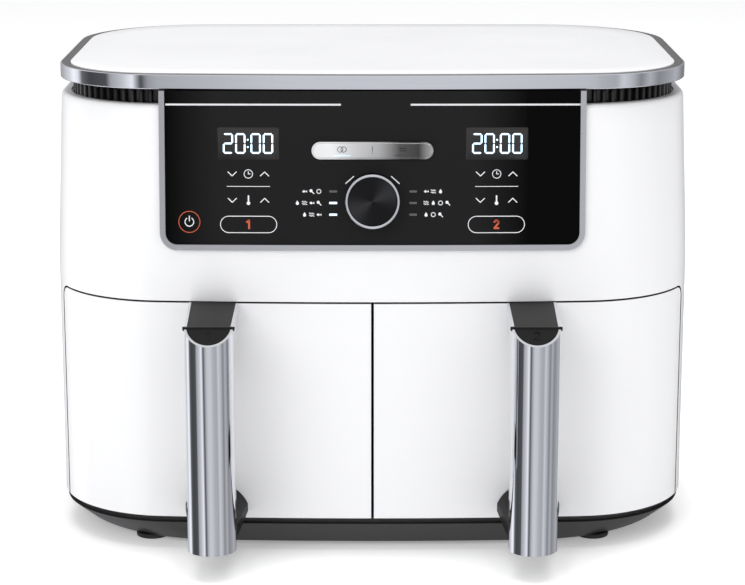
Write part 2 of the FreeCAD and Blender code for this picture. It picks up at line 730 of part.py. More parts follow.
def make_base():
    """Dark base: narrower underneath, a shoulder, a recessed strip, a tray inside and three ribs."""
    body = new_body("base")
    sizes = (d.base_half_width, d.base_front, d.base_corner, d.rear_y - d.base_front, d.rear_corner)
    loft(body, ((d.foot_rise, plan_outline(*sizes)), (d.base_shoulder, body_plan(d.base_inset))))
    pad(body, "XY", d.base_shoulder, [body_plan(d.groove_inset)], d.base_top - d.base_shoulder)
    inner = d.base_half_width - d.base_floor * 4
    front = d.frame_y + d.frame_wall * 2
    back = d.rear_y - d.base_front * 3
    large, small = d.rear_corner, d.base_front
    tray = [
        (small - inner, front),
        (inner - small, front, small),
        (inner, front + small),
        (inner, back - large, large),
        (inner - large, back),
        (large - inner, back, large),
        (-inner, back - large),
        (-inner, front + small, small),
    ]
    floor = d.foot_rise + d.base_floor
    pocket(body, "XY", floor, [tray], d.base_top - floor)
    step = d.base_front * 2
    under = rounded(step * 5 - inner, inner - step * 5, d.base_front + step, d.frame_y, d.base_front)
    pocket(body, "XY", d.foot_rise, [under], d.base_top - d.base_floor - d.foot_rise)
    half = d.base_floor / 2
    for middle in (-d.fan_x, sized(0), d.fan_x):
        rib = rectangle(middle - half, middle + half, front, back)
        pad(body, "XY", floor, [rib], d.base_top - floor)
    place(body)
    finish("base_tray", body)
    feet = []
    for x in (-d.foot_x, d.foot_x):
        for y in (d.foot_front_y, d.foot_rear_y):
            feet.append(rod("foot", (x, y, 0), d.foot_radius, d.foot_rise))
    whole = group("feet", feet)
    place(whole)
    finish("rubber_feet", whole)


def make_rear():
    """Louvred rear cover with its lip and screws, the air duct in front of it, and the cord gland."""
    body = new_body("cover")
    lip = d.cover_lip
    outer = rectangle(-d.cover_half, d.cover_half, d.cover_low, d.cover_high)
    inside = d.rear_y - d.wall - d.layer_gap - d.cover_wall
    pad(body, "XZ", inside + d.cover_wall, [outer], d.rear_y - inside - d.cover_wall)
    wide = rectangle(-d.cover_half - lip, d.cover_half + lip, d.cover_low - lip, d.cover_high + lip)
    pad(body, "XZ", inside, [wide], d.cover_wall)
    low = d.chamber_top - d.louvre_pitch * d.louvres
    columns = []
    for middle in (-d.cover_half / 2, d.cover_half / 2):
        left, right = middle - d.louvre_half, middle + d.louvre_half
        columns.append(rectangle(left, right, low, low + d.louvre_slot))
    slots = pocket(body, "XZ", inside - 1, columns, d.wall + d.cover_wall + 2)
    repeat_along(body, slots, "V_Axis", d.louvre_pitch, d.louvres)
    inset = d.screw_head * 2
    spots = []
    for x in (inset - d.cover_half, d.cover_half - inset):
        for z in (d.cover_low + inset, d.cover_high - inset):
            spots.append((x, z))
    holes = [("circle", x, z, d.screw_radius + d.screw_slack) for x, z in spots]
    pocket(body, "XZ", inside - 1, holes, d.wall + d.cover_wall + 2)
    place(body)
    finish("rear_cover", body)
    screws = []
    for x, z in spots:
        shank = rod("shank", (x, inside - d.cover_lip, z), d.screw_radius, d.rear_y - inside + d.cover_lip, "y")
        head = rod("head", (x, d.rear_y, z), d.screw_head, d.screw_radius, "y")
        screws.append(fused("cover_screw", [shank, head]))
    whole = group("cover_screw_set", screws)
    place(whole)
    finish("case_screws", whole)
    duct = new_body("duct")
    duct_low, duct_high = low - d.louvre_pitch, d.chamber_top - d.layer_gap
    start = d.chamber_rear + d.layer_gap
    half = d.cover_half - d.louvre_pitch / 2
    thin = d.carrier_wall
    outer = rectangle(-half, half, duct_low, duct_high)
    left = rectangle(thin - half, -thin / 2, duct_low + thin, duct_high - thin)
    right = rectangle(thin / 2, half - thin, duct_low + thin, duct_high - thin)
    pad(duct, "XZ", start, [outer, left, right], inside - d.layer_gap - start)
    place(duct)
    finish("exhaust_duct", duct)
    gland = new_body("gland")
    inner = d.rear_y - d.wall
    bore = ("circle", d.gland_x, d.gland_z, d.cord_bore)
    pad(gland, "XZ", inner - 3, [("circle", d.gland_x, d.gland_z, d.gland_radius), bore], d.wall + 3)
    pad(
        gland, "XZ", inner - d.layer_gap - 3,
        [("circle", d.gland_x, d.gland_z, d.gland_radius + 2.5), bore], 3,
    )
    pad(
        gland, "XZ", d.rear_y,
        [("circle", d.gland_x, d.gland_z, d.gland_radius - 1.5), bore], d.gland_reach,
    )
    place(gland)
    finish("cord_gland", gland)


# ---------------------------------------------------------------- inner frame, chambers, runners
def make_front_frame():
    """Black frame behind the drawer fronts, with two mouths and a soffit under the housing."""
    body = new_body("frame")
    gap = d.layer_gap
    side = d.half_width - d.wall - gap - 1
    top = overhang + d.frame_wall
    plate = rectangle(-side, side, shell_low, top)
    pad(body, "XZ", d.frame_y, [plate], d.frame_wall)
    for sign in (-1, 1):
        start, touch, end, bow, small = front_curve(d.wall + gap, sized(0.0), d.frame_y + 1)
        soffit = [(start[0], start[1], bow), (touch[0], touch[1], small), end, (start[0], end[1])]
        pad(body, "XY", overhang, [mirrored(soffit, sign)], d.frame_wall)
    room = gap * 5
    low = d.pan_bottom - gap * 4
    left, right = d.pan_inner_x - d.pan_flange - room / 2, d.pan_outer_x + d.pan_flange + room / 2
    mouths = [mirrored(rectangle(left, right, low, d.mouth_top), sign) for sign in (-1, 1)]
    pocket(body, "XZ", d.frame_y - 1, mouths, d.frame_wall + 2)
    place(body)
    finish("front_frame", body)


def chamber_plan(left, right, front, back, offset, sign):
    """Plan of a chamber: square but for the rear corner beside the housing."""
    radius = d.chamber_corner - offset
    corners = [
        (left + offset, front + offset),
        (right - offset, front + offset),
        (right - offset, back - offset - radius, radius),
        (right - offset - radius, back - offset),
        (left + offset, back - offset),
    ]
    return mirrored(corners, sign)


def make_chamber(number, sign):
    """Steel chamber, open at the front up to the mouth, with holes for shaft, probe, leads and air."""
    body = new_body(f"chamber_{number}")
    front = d.frame_y + d.frame_wall + d.layer_gap
    thin = d.chamber_wall
    edges = (d.chamber_inner_x, d.chamber_outer_x, front, d.chamber_rear)
    tall = d.chamber_top - chamber_low
    pad(body, "XY", chamber_low, [chamber_plan(*edges, sized(0.0), sign)], tall - thin)
    pocket(body, "XY", chamber_low + thin, [chamber_plan(*edges, thin, sign)], tall)
    pad(body, "XY", d.chamber_top - thin, [chamber_plan(*edges, sized(0.0), sign)], thin)
    left, right = d.chamber_inner_x + thin, d.chamber_outer_x - thin
    mouth = rectangle(left, right, chamber_low + thin, d.mouth_top + d.layer_gap)
    pocket(body, "XZ", front - 1, [mirrored(mouth, sign)], thin + 2)
    shaft = ("circle", d.fan_x, d.fan_y, d.deck_hole)
    probe = ("circle", d.fan_x, d.probe_y, d.probe_radius + d.screw_slack)
    holes = [mirrored(shaft, sign), mirrored(probe, sign)]
    pocket(body, "XY", d.chamber_top - thin - 1, holes, thin + 2)
    leads = [
        mirrored(("circle", d.fan_x + shift, d.heater_z, d.heater_tube + d.screw_slack), sign)
        for shift in (-d.heater_lead, d.heater_lead)
    ]
    pocket(body, "XZ", d.chamber_rear - thin - 1, leads, thin + 2)
    place(body)
    finish(f"chamber_{number}", body)


def make_rails():
    """Runners on the chamber walls, two to a zone, that the rims of the pans slide on."""
    top = d.pan_top - d.pan_wall - d.rail_slack
    low = top - d.rail_height
    rails = []
    clear = d.layer_gap * 2
    spans = (
        (d.chamber_inner_x + d.chamber_wall, d.pan_inner_x - clear),
        (d.pan_outer_x + clear, d.chamber_outer_x - d.chamber_wall),
    )
    for left, right in spans + tuple((-right, -left) for left, right in spans):
        rails.append(block("rail", (left, d.rail_front, low), (right, d.rail_rear, top)))
    whole = group("rails", rails)
    place(whole)
    finish("runner_rails", whole)


# ---------------------------------------------------------------- drawers
def make_drawer_front(number, sign):
    """White front: a bowed skin that wraps round the corner to the side seam, with rounded edges."""
    body = new_body(f"front_{number}")
    start, touch, end, bow, small = front_curve(sized(0.0), divider_half, d.seam_y)
    back = front_curve(d.front_skin, divider_half, d.seam_y)
    skin = [
        (start[0], start[1], bow),
        (touch[0], touch[1], small),
        end,
        (back[2][0], back[2][1], -back[4]),
        (back[1][0], back[1][1], -back[3]),
        back[0],
    ]
    tall = d.drawer_top - d.drawer_bottom
    pad(body, "XY", d.drawer_bottom, [mirrored(skin, sign)], tall)

    def outer_edge(edge):
        middle = edge.valueAt((edge.FirstParameter + edge.LastParameter) / 2)
        level = abs(middle.z - d.drawer_bottom.value) < 1e-3 or abs(middle.z - d.drawer_top.value) < 1e-3
        across = abs(middle.x)
        radius = math.hypot(middle.x, middle.y - d.front_bow.value)
        on_bow = abs(radius - d.front_bow.value) < 1e-3 and across < touch[0].value
        centre_x, centre_y = touch_centre
        on_corner = abs(math.hypot(across - centre_x, middle.y - centre_y) - small.value) < 1e-3
        seam = abs(across - end[0].value) < 1e-3 and abs(middle.y - end[1].value) < 1e-3
        divider = abs(across - start[0].value) < 1e-3 and abs(middle.y - start[1].value) < 1e-3
        return (level and (on_bow or on_corner)) or seam or divider

    centre = corner_centre(d.half_width, sized(0), d.front_bow, d.front_corner)
    touch_centre = (centre[0].value, centre[1].value)
    fillet(body, d.front_round, outer_edge)
    holes = [mirrored(("circle", x, z, d.screw_radius + d.screw_slack), sign) for x, z in screw_spots()]
    pocket(body, "XZ", -1, holes, d.carrier_back)
    place(body)
    finish(f"drawer_front_{number}", body)


def screw_spots():
    """Middles of the four handle screws of a drawer, as (x, z)."""
    spots = []
    for x in (d.handle_x - d.screw_spread, d.handle_x + d.screw_spread):
        for z in (d.lower_screw_z, d.upper_screw_z):
            spots.append((x, z))
    return spots


def make_carrier(number, sign):
    """Black carrier between the front and the pan: a box that is open below, behind the white skin."""
    body = new_body(f"carrier_{number}")
    gap = d.layer_gap
    low, top = d.drawer_bottom + gap, d.drawer_top - gap
    inner_x = divider_half + gap
    outer = front_curve(d.front_skin + gap, inner_x, d.carrier_back)
    shape = [
        (outer[0][0], outer[0][1], outer[3]),
        (outer[1][0], outer[1][1], outer[4]),
        outer[2],
        (inner_x, d.carrier_back),
    ]
    pad(body, "XY", low, [mirrored(shape, sign)], top - low)
    thin = d.carrier_wall
    hollow = front_curve(d.front_skin + gap + thin, inner_x + thin, d.carrier_back - thin)
    hollow_shape = [
        (hollow[0][0], hollow[0][1], hollow[3]),
        (hollow[1][0], hollow[1][1], hollow[4]),
        hollow[2],
        (hollow[0][0], hollow[2][1]),
    ]
    pocket(body, "XY", low, [mirrored(hollow_shape, sign)], top - thin - low)
    holes = [mirrored(("circle", x, z, d.screw_radius + d.screw_slack), sign) for x, z in screw_spots()]
    pocket(body, "XZ", -1, holes, d.carrier_back - thin * 3)
    place(body)
    finish(f"drawer_carrier_{number}", body)


def make_pan(number, sign):
    """Deep pan with round corners and a rim that runs on the rails."""
    body = new_body(f"pan_{number}")
    thin = d.pan_wall

    def outline(offset):
        edges = (d.pan_inner_x + offset, d.pan_outer_x - offset, d.pan_front + offset, d.pan_rear - offset)
        return mirrored(rounded(*edges, d.pan_corner - offset), sign)

    pad(body, "XY", d.pan_bottom, [outline(0.0)], d.pan_top - d.pan_bottom)
    pocket(body, "XY", pan_floor, [outline(thin)], d.pan_top - pan_floor)
    left, right = d.pan_inner_x - d.pan_flange, d.pan_outer_x + d.pan_flange
    edges = (left, right, d.pan_front, d.pan_rear + d.pan_flange)
    rim = mirrored(rounded(*edges, d.pan_corner), sign)
    pad(body, "XY", d.pan_top - thin, [rim, outline(thin)], thin)
    place(body)
    finish(f"pan_{number}", body)


def make_crisper(number, sign):
    """Perforated plate that lies in the pan on four silicone bumpers."""
    body = new_body(f"crisper_{number}")
    inset = d.pan_wall + d.crisper_gap
    left, right = d.pan_inner_x + inset, d.pan_outer_x - inset
    front, back = d.pan_front + inset, d.pan_rear - inset
    plate = rounded(left, right, front, back, d.pan_corner - inset)
    pad(body, "XY", crisper_z, [mirrored(plate, sign)], d.crisper_wall)
    holes = []
    columns, rows = 8, 9
    step_x = (right - left) / columns
    step_y = (back - front) / rows
    for column in range(columns):
        for line in range(rows):
            in_corner = column in (0, columns - 1) and line in (0, rows - 1)
            if not in_corner:
                x = left + step_x * (column + 0.5)
                y = front + step_y * (line + 0.5)
                holes.append(mirrored(("circle", x, y, d.crisper_hole), sign))
    pocket(body, "XY", crisper_z - 1, holes, d.crisper_wall + 2)
    place(body)
    finish(f"crisper_plate_{number}", body)
    bumpers = []
    half = d.bumper_length / 2
    reach = d.crisper_gap - d.bumper_slack
    low, high = pan_floor + d.layer_gap, crisper_z + d.crisper_wall
    middle_x, middle = (left + right) / 2, (front + back) / 2
    spans = (
        (middle_x - half, middle_x + half, front - reach, front),
        (middle_x - half, middle_x + half, back, back + reach),
        (left - reach, left, middle - half, middle + half),
        (right, right + reach, middle - half, middle + half),
    )
    for x0, x1, y0, y1 in spans:
        if sign < 0:
            x0, x1 = -x1, -x0
        bumpers.append(block("bumper", (x0, y0, low), (x1, y1, high)))
    whole = group(f"bumpers_{number}", bumpers)
    place(whole)
    finish(f"crisper_bumpers_{number}", whole)


# ---------------------------------------------------------------- handles
def grip_plan(thin, closed_x):
    """Plan of a handle at one depth of its wall: straight cheeks and a round front, open at the back."""
    radius = (d.grip_half * d.grip_half + d.grip_round * d.grip_round) / (d.grip_round * 2)
    neck, grip = d.neck_half - thin, d.grip_half - thin
    left, right = closed_x - neck, closed_x + neck
    return [
        (left, front_at(left, d.shell_slack) - d.shell_slack * 2),
        (closed_x - grip, -d.grip_chord, radius - thin),
        (closed_x + grip, -d.grip_chord),
        (right, front_at(right, d.shell_slack) - d.shell_slack * 2),
    ]


def side_profile(proud, cap_cut, bottom):
    """Side view of a handle, as (y, z): sloping top, cap slope, grip and the curve under the neck."""
    fall = d.neck_top - d.neck_slope
    forward = handle_reach + 5
    rear = d.grip_rear - proud
    curve = d.neck_curve - proud
    under = d.neck_under - proud
    return [
        (sized(FAR), d.neck_top + d.neck_slope * FAR / d.cap_start),
        (-d.cap_start, fall),
        (-d.cap_start, fall - cap_cut),
        (-forward, fall - cap_cut - (forward - d.cap_start) * d.cap_fall),
        (-forward, bottom),
        (-rear, bottom),
        (-rear, under - curve, -curve),
        (curve - rear, under),
        (sized(FAR), under),
    ]


def make_handle(number, sign):
    """Handle: bright U-shaped shell, dark core with its lower bracket, and the sloping cap."""
    x = d.handle_x
    width = d.neck_half + 4

    def slab(name, profile):
        body = new_body(name)
        start = x - width if sign > 0 else -x - width
        pad(body, "YZ", start, [profile], width * 2)
        return body

    def plan_body(name, outlines, low, high):
        body = new_body(name)
        pad(body, "XY", low, [mirrored(outline, sign) for outline in outlines], high - low)
        return body

    low, high = d.grip_bottom - 5, d.neck_top + 5
    top_cut = sized(0.05)
    outer = grip_plan(sized(0.0), x)
    inner = grip_plan(d.shell_wall, x)
    ring = outer + list(reversed_outline(inner))
    shell = common(
        f"handle_shell_{number}",
        slab(f"grip_side_{number}", side_profile(sized(0.0), top_cut, d.grip_bottom)),
        plan_body(f"grip_ring_{number}", [ring], low, high),
    )
    place(shell)
    finish(f"handle_shell_{number}", shell)

    filling = grip_plan(d.shell_wall + d.shell_slack, x)
    slack = d.shell_slack
    stem = common(
        f"grip_core_{number}",
        slab(f"core_side_{number}", side_profile(d.core_proud, d.cap_depth + slack, d.grip_bottom + slack * 5)),
        plan_body(f"core_plan_{number}", [filling], low, high),
    )
    bracket = new_body(f"bracket_{number}")
    grip_in = d.grip_half - d.shell_wall - slack

    def arch(half, bottom, straight, rise):
        """Flat bottom, upright sides and a round top, as (x, z) about the middle of the handle."""
        radius = (half * half + rise * rise) / (rise * 2)
        corners = [
            (x - half, bottom), (x + half, bottom), (x + half, bottom + straight, radius),
            (x - half, bottom + straight),
        ]
        return mirrored(corners, sign)

    near = sketch_on(
        bracket, "XZ", front_at(x - d.foot_half, slack) - slack * 2,
        [arch(d.foot_half, d.foot_low, d.foot_side, d.foot_arch)],
    )
    far = sketch_on(
        bracket, "XZ", d.core_proud - d.grip_rear - 1,
        [arch(grip_in, d.grip_bottom + slack * 5, d.foot_side * 2, d.foot_arch / 2)],
    )
    joined = bracket.newObject("PartDesign::AdditiveLoft", f"{bracket.Name}_loft")
    joined.Profile = near
    joined.Sections = [far]
    joined.Ruled = True
    bracket.Tip = joined
    whole = fused(f"core_whole_{number}", [stem, bracket])
    bores = []
    depth = d.neck_half
    for spot_x, spot_z in screw_spots():
        bores.append(rod("bore", (spot_x * sign, -depth, spot_z), d.screw_radius + slack, depth * 2, "y"))
    core = less(f"handle_core_{number}", whole, fused(f"bores_{number}", bores))
    place(core)
    finish(f"handle_core_{number}", core)

    fall = d.neck_top - d.neck_slope
    forward = handle_reach + 5
    slope = [
        (-d.cap_start - slack, fall - slack),
        (-d.cap_start - slack, fall - d.cap_depth),
        (-forward, fall - d.cap_depth - (forward - d.cap_start - slack) * d.cap_fall),
        (-forward, fall - slack - (forward - d.cap_start - slack) * d.cap_fall),
    ]
    cap = common(
        f"handle_cap_{number}",
        slab(f"cap_side_{number}", slope),
        plan_body(f"cap_plan_{number}", [filling], low, high),
    )
    place(cap)
    finish(f"handle_cap_{number}", cap)

    screws = []
    reach = x + d.screw_spread + d.screw_head
    seat = front_at(reach, d.front_skin + d.layer_gap + d.carrier_wall) + d.layer_gap / 3
    for spot_x, spot_z in screw_spots():
        shank = rod("shank", (spot_x * sign, slack - depth, spot_z), d.screw_radius, depth + seat, "y")
        head = rod("head", (spot_x * sign, seat, spot_z), d.screw_head, d.screw_radius, "y")
        screws.append(fused("handle_screw", [shank, head]))
    all_screws = group(f"handle_screw_set_{number}", screws)
    place(all_screws)
    finish(f"handle_screws_{number}", all_screws)


def reversed_outline(outline):
    """The same corners the other way round, so that an arc leaves from its other end."""
    corners = [corner[:2] for corner in outline]
    radii = [corner[2] if len(corner) == 3 else None for corner in outline]
    count = len(outline)
    for index in range(count - 1, -1, -1):
        radius = radii[index - 1] if index > 0 else None
        yield corners[index] if radius is None else corners[index] + (-radius,)


# ---------------------------------------------------------------- hot air
def make_fan(name, radius, height):
    """Radial fan about its own upright axis: hub, disc on top and straight blades under it."""
    body = new_body(name)
    bore = ("circle", 0, 0, d.shaft_radius)
    pad(body, "XY", 0, [("circle", 0, 0, d.fan_hub), bore], height)
    pad(body, "XY", height - d.fan_disc, [("circle", 0, 0, radius), bore], d.fan_disc)
    half = d.fan_disc / 2
    blade = rectangle(d.fan_hub - 1, radius - 1, -half, half)
    one = pad(body, "XY", 0, [blade], height)
    repeat_round(body, one, d.blades)
    return body


def make_hot_air(number, sign):
    """Guard, heater, fans, shaft, motor of one zone, all about the fan axis."""
    x = d.fan_x * sign
    guard = new_body(f"guard_{number}")
    pad(guard, "XY", 0, [("circle", 0, 0, d.guard_radius)], d.guard_wall)
    inner, outer = d.fan_hub * 2, d.guard_radius - d.post_radius * 4.5
    half = d.guard_wall * 1.6
    slot = pocket(guard, "XY", -1, [rectangle(inner, outer, -half, half)], d.guard_wall + 2)
    repeat_round(guard, slot, d.blades * 2)
    turn = d.post_circle / math.sqrt(2)
    posts = [("circle", turn * a, turn * b, d.post_radius) for a in (-1, 1) for b in (-1, 1)]
    ceiling = d.chamber_top - d.chamber_wall - d.layer_gap
    pad(guard, "XY", d.guard_wall, posts, ceiling - d.guard_z - d.guard_wall)
    place(guard, x, d.fan_y, d.guard_z)
    finish(f"fan_guard_{number}", guard)

    ring = doc.addObject("Part::Torus", "heater_ring")
    bind(ring, "Radius1", d.heater_radius)
    bind(ring, "Radius2", d.heater_tube)
    lead_start = (d.heater_radius * d.heater_radius - d.heater_lead * d.heater_lead).root()
    lead_end = d.chamber_rear - d.fan_y + d.chamber_wall * 4
    leads = []
    for shift in (-d.heater_lead, d.heater_lead):
        leads.append(rod("lead", (shift, lead_start, 0), d.heater_tube, lead_end - lead_start, "y"))
    heater = fused(f"heater_{number}", [ring] + leads)
    place(heater, x, d.fan_y, d.heater_z)
    finish(f"heating_element_{number}", heater)

    hot = make_fan(f"hot_fan_{number}", d.hot_fan_radius, d.hot_fan_height)
    place(hot, x, d.fan_y, d.hot_fan_z)
    finish(f"hot_air_fan_{number}", hot)
    cool = make_fan(f"cool_fan_{number}", d.cool_fan_radius, d.cool_fan_height)
    place(cool, x, d.fan_y, d.cool_fan_z)
    finish(f"cooling_fan_{number}", cool)
    shaft = rod(f"shaft_{number}", (0, 0, 0), d.shaft_radius, d.shaft_high - d.shaft_low)
    place(shaft, x, d.fan_y, d.shaft_low)
    finish(f"motor_shaft_{number}", shaft)

    motor = new_body(f"motor_{number}")
    bore = ("circle", 0, 0, d.shaft_radius + d.running_slack)
    lamination = d.motor_height * 0.6
    cap_low = (d.motor_height - lamination) / 2
    pad(motor, "XY", 0, [("circle", 0, 0, d.motor_radius * 0.75), bore], d.motor_height)
    pad(motor, "XY", cap_low, [("circle", 0, 0, d.motor_radius), bore], lamination)
    foot = d.motor_radius * 0.6
    legs = [("circle", foot * a, foot * b, d.post_radius * 1.6) for a in (-1, 1) for b in (-1, 1)]
    pad(motor, "XY", 0, legs, cap_low)
    place(motor, x, d.fan_y, motor_z)
    finish(f"motor_{number}", motor)


def make_deck():
    """Motor deck across both chambers, the temperature probes through it and the power board on it."""
    body = new_body("deck")
    front = d.frame_y + d.frame_wall + d.layer_gap
    for sign in (-1, 1):
        half = chamber_plan(sized(0.0), d.chamber_outer_x, front, d.chamber_rear, sized(0.0), sign)
        pad(body, "XY", deck_z, [half], d.deck_wall)
    holes = []
    for sign in (-1, 1):
        holes.append(("circle", d.fan_x * sign, d.fan_y, d.deck_hole))
        holes.append(("circle", d.fan_x * sign, d.probe_y, d.probe_radius + d.screw_slack))
    pocket(body, "XY", deck_z - 1, holes, d.deck_wall + 2)
    place(body)
    finish("motor_deck", body)
    probes = []
    top = deck_z + d.deck_wall + d.probe_radius * 4
    for sign in (-1, 1):
        x = d.fan_x * sign
        stem = rod("stem", (x, d.probe_y, d.probe_low), d.probe_radius, top - d.probe_low)
        collar_z = deck_z + d.deck_wall + d.layer_gap
        collar = rod("collar", (x, d.probe_y, collar_z), d.probe_radius * 2, d.probe_radius * 2)
        probes.append(fused("probe", [stem, collar]))
    whole = group("probe_set", probes)
    place(whole)
    finish("temperature_probes", whole)
    low = deck_z + d.deck_wall + d.layer_gap
    half = d.fan_x - d.cool_fan_radius - d.fan_hub / 2
    y = d.fan_y
    board = block("power_plate", (-half, y, low), (half, y + d.board_wall, low + d.motor_height * 1.5))
    coil = block("coil", (-half / 2, y - 24, low + 4), (half / 8, y, low + 32))
    relay_one = block("relay", (half / 4, y - 14, low + 6), (half * 0.8, y, low + 20))
    relay_two = block("relay", (half / 4, y - 14, low + 26), (half * 0.8, y, low + 40))
    tank = rod("capacitor", (-half * 0.75, y - 20, low + 42), 7, 20, "y")
    whole = fused("power", [board, coil, relay_one, relay_two, tank])
    place(whole)
    finish("power_board", whole)


# ---------------------------------------------------------------- control panel
def bowed_strip(half, proud, deep):
    """Plan of a strip of the bowed panel, from `proud` in front of its face to `deep` behind it."""
    outer, inner = d.front_bow + proud, d.front_bow - deep
    front = d.front_bow - (outer * outer - half * half).root()
    back = d.front_bow - (inner * inner - half * half).root()
    return [(-half, front, outer), (half, front), (half, back, -inner), (-half, back)]


def corner_waste(half, low, radius, sign):
    """What is cut off a square lower corner to leave it round, as (x, z)."""
    beyond = 5
    edge = [
        (half, low + radius, -radius),
        (half - radius, low),
        (half - radius, low - beyond),
        (half + beyond, low - beyond),
        (half + beyond, low + radius),
    ]
    return mirrored(edge, sign)


def make_panel():
    """Black glass panel with bosses behind it, and the silver frame on three sides."""
    fascia = new_body("fascia")
    tall = d.panel_low + d.panel_high
    pad(fascia, "XY", -d.panel_low, [bowed_strip(d.panel_half, sized(0.0), d.panel_wall)], tall)
    corners = [corner_waste(d.panel_half, -d.panel_low, d.panel_corner, sign) for sign in (-1, 1)]
    pocket(fascia, "XZ", -FAR, corners, FAR * 2)
    dial = ("circle", 0, 0, d.dial_radius + d.dial_slack)
    half, tall = d.rocker_half + d.rocker_slack, d.rocker_tall / 2 + d.rocker_slack
    slot = rounded(-half, half, d.rocker_v - tall, d.rocker_v + tall, tall * 0.98)
    pocket(fascia, "XZ", -FAR, [dial, slot], FAR * 2)
    bosses = []
    inset = d.boss_radius * 1.5
    for x in (inset - d.board_half, d.board_half - inset):
        for v in (inset - d.board_low, d.board_high - inset):
            bosses.append(("circle", x, v, d.boss_radius))
    pad(fascia, "XZ", d.panel_wall, bosses, d.board_y - d.panel_wall)
    place_on_panel(fascia)
    finish("panel_fascia", fascia)

    frame = new_body("silver_frame")
    half, low = d.panel_half + d.frame_strip, d.panel_low + d.frame_strip
    pad(frame, "XY", -low, [bowed_strip(half, d.frame_proud, d.frame_deep)], low + d.panel_high)
    radius = d.panel_corner + d.frame_strip
    corners = [corner_waste(half, -low, radius, sign) for sign in (-1, 1)]
    pocket(frame, "XZ", -FAR, corners, FAR * 2)
    slack = d.panel_slack
    inner_half, inner_low = d.panel_half + slack, d.panel_low + slack
    small = d.panel_corner + slack
    window = [
        (inner_half, small - inner_low),
        (inner_half, d.panel_high + 1),
        (-inner_half, d.panel_high + 1),
        (-inner_half, small - inner_low, small),
        (small - inner_half, -inner_low),
        (inner_half - small, -inner_low, small),
    ]
    pocket(frame, "XZ", -FAR, [window], FAR * 2)
    place_on_panel(frame)
    finish("panel_frame", frame)


def make_dial():
    """Dial with its bright ring on a stem that turns in a push sleeve inside the encoder."""
    back = d.dial_skirt
    deep = d.dial_proud + back
    knob = new_body("knob")
    inner = d.dial_radius - d.dial_ring_wall
    pad(knob, "XZ", -d.dial_proud, [("circle", 0, 0, inner - d.running_slack)], deep)
    pocket(knob, "XZ", -d.dial_proud + 3, [("circle", 0, 0, d.stem_radius)], deep)
    place_on_panel(knob)
    finish("dial_knob", knob)
    ring = new_body("ring")
    pad(ring, "XZ", -d.dial_proud, [("circle", 0, 0, d.dial_radius), ("circle", 0, 0, inner)], deep)
    fillet(ring, sized(0.5), lambda edge: edge.BoundBox.YMax < 0.1 - d.dial_proud.value)
    place_on_panel(ring)
    finish("dial_ring", ring)
    sleeve_start = back + d.button_travel * 4
    sleeve_end = d.board_y - d.button_travel * 2
    stem = new_body("stem")
    pad(stem, "XZ", 3 - d.dial_proud, [("circle", 0, 0, d.stem_radius)], d.dial_proud - 3 + sleeve_end)
    place_on_panel(stem)
    finish("dial_stem", stem)
    sleeve = new_body("sleeve")
    bore = ("circle", 0, 0, d.stem_radius + d.running_slack)
    length = sleeve_end - sleeve_start
    pad(sleeve, "XZ", sleeve_start, [("circle", 0, 0, d.sleeve_radius), bore], length)
    place_on_panel(sleeve)
    finish("dial_sleeve", sleeve)
    encoder = new_body("encoder")
    half = d.encoder_half
    start = sleeve_start + d.button_travel
    bore = ("circle", 0, 0, d.sleeve_radius + d.running_slack)
    pad(encoder, "XZ", start, [rectangle(-half, half, -half, half), bore], d.board_y - start)
    place_on_panel(encoder)
    finish("dial_encoder", encoder)


def make_rocker():
    """Two-way rocker: a long pill that tilts about an upright pin in its bracket, over two switches."""
    rocker = new_body("rocker")
    half, tall = d.rocker_half, d.rocker_tall / 2
    face = rounded(-half, half, d.rocker_v - tall, d.rocker_v + tall, tall * 0.98)
    pad(rocker, "XZ", -d.rocker_proud, [face], d.rocker_wall)
    fillet(rocker, sized(0.6), lambda edge: edge.BoundBox.YMax < 0.1 - d.rocker_proud.value)
    back = d.rocker_wall - d.rocker_proud
    web = tall / 2
    pivot = d.rocker_pivot
    lug = rectangle(-d.pivot_radius * 2, d.pivot_radius * 2, back - 0.5, pivot + d.pivot_radius * 2)
    pad(rocker, "XY", d.rocker_v - web, [lug], web * 2)
    bore = d.pivot_radius + d.running_slack
    pocket(rocker, "XY", d.rocker_v - web - 1, [("circle", 0, pivot, bore)], web * 2 + 2)
    place_on_panel(rocker)
    finish("mode_rocker", rocker)

    cheek_low = web + d.layer_gap
    wide = d.pivot_radius * 3
    thick = d.pivot_radius * 2
    front = pivot - thick
    v = d.rocker_v
    items = []
    for low, high in ((v - cheek_low - thick, v - cheek_low), (v + cheek_low, v + cheek_low + thick)):
        items.append(block("cheek", (-wide, front, low), (wide, d.board_y, high)))
    items.append(rod("pin", (0, pivot, v - cheek_low - 1), d.pivot_radius, cheek_low * 2 + 2))
    plate = (d.board_y - 2, v - cheek_low - thick, v + cheek_low + thick)
    items.append(block("bracket_plate", (-wide, plate[0], plate[1]), (wide, d.board_y, plate[2])))
    bracket = fused("rocker_bracket_shape", items)
    place_on_panel(bracket)
    finish("rocker_bracket", bracket)

    reach = d.rocker_half * 0.8
    switches = []
    for sign in (-1, 1):
        middle = reach * sign
        case = block("case", (middle - 3, d.board_y - 4, v - 3), (middle + 3, d.board_y, v + 3))
        start = back + d.button_travel * 1.3
        button = rod("button", (middle, start, v), 1.6, d.board_y - 4 - start, "y")
        switches.append(fused("switch", [case, button]))
    pair = group("switch_pair", switches)
    place_on_panel(pair)
    finish("rocker_switches", pair)


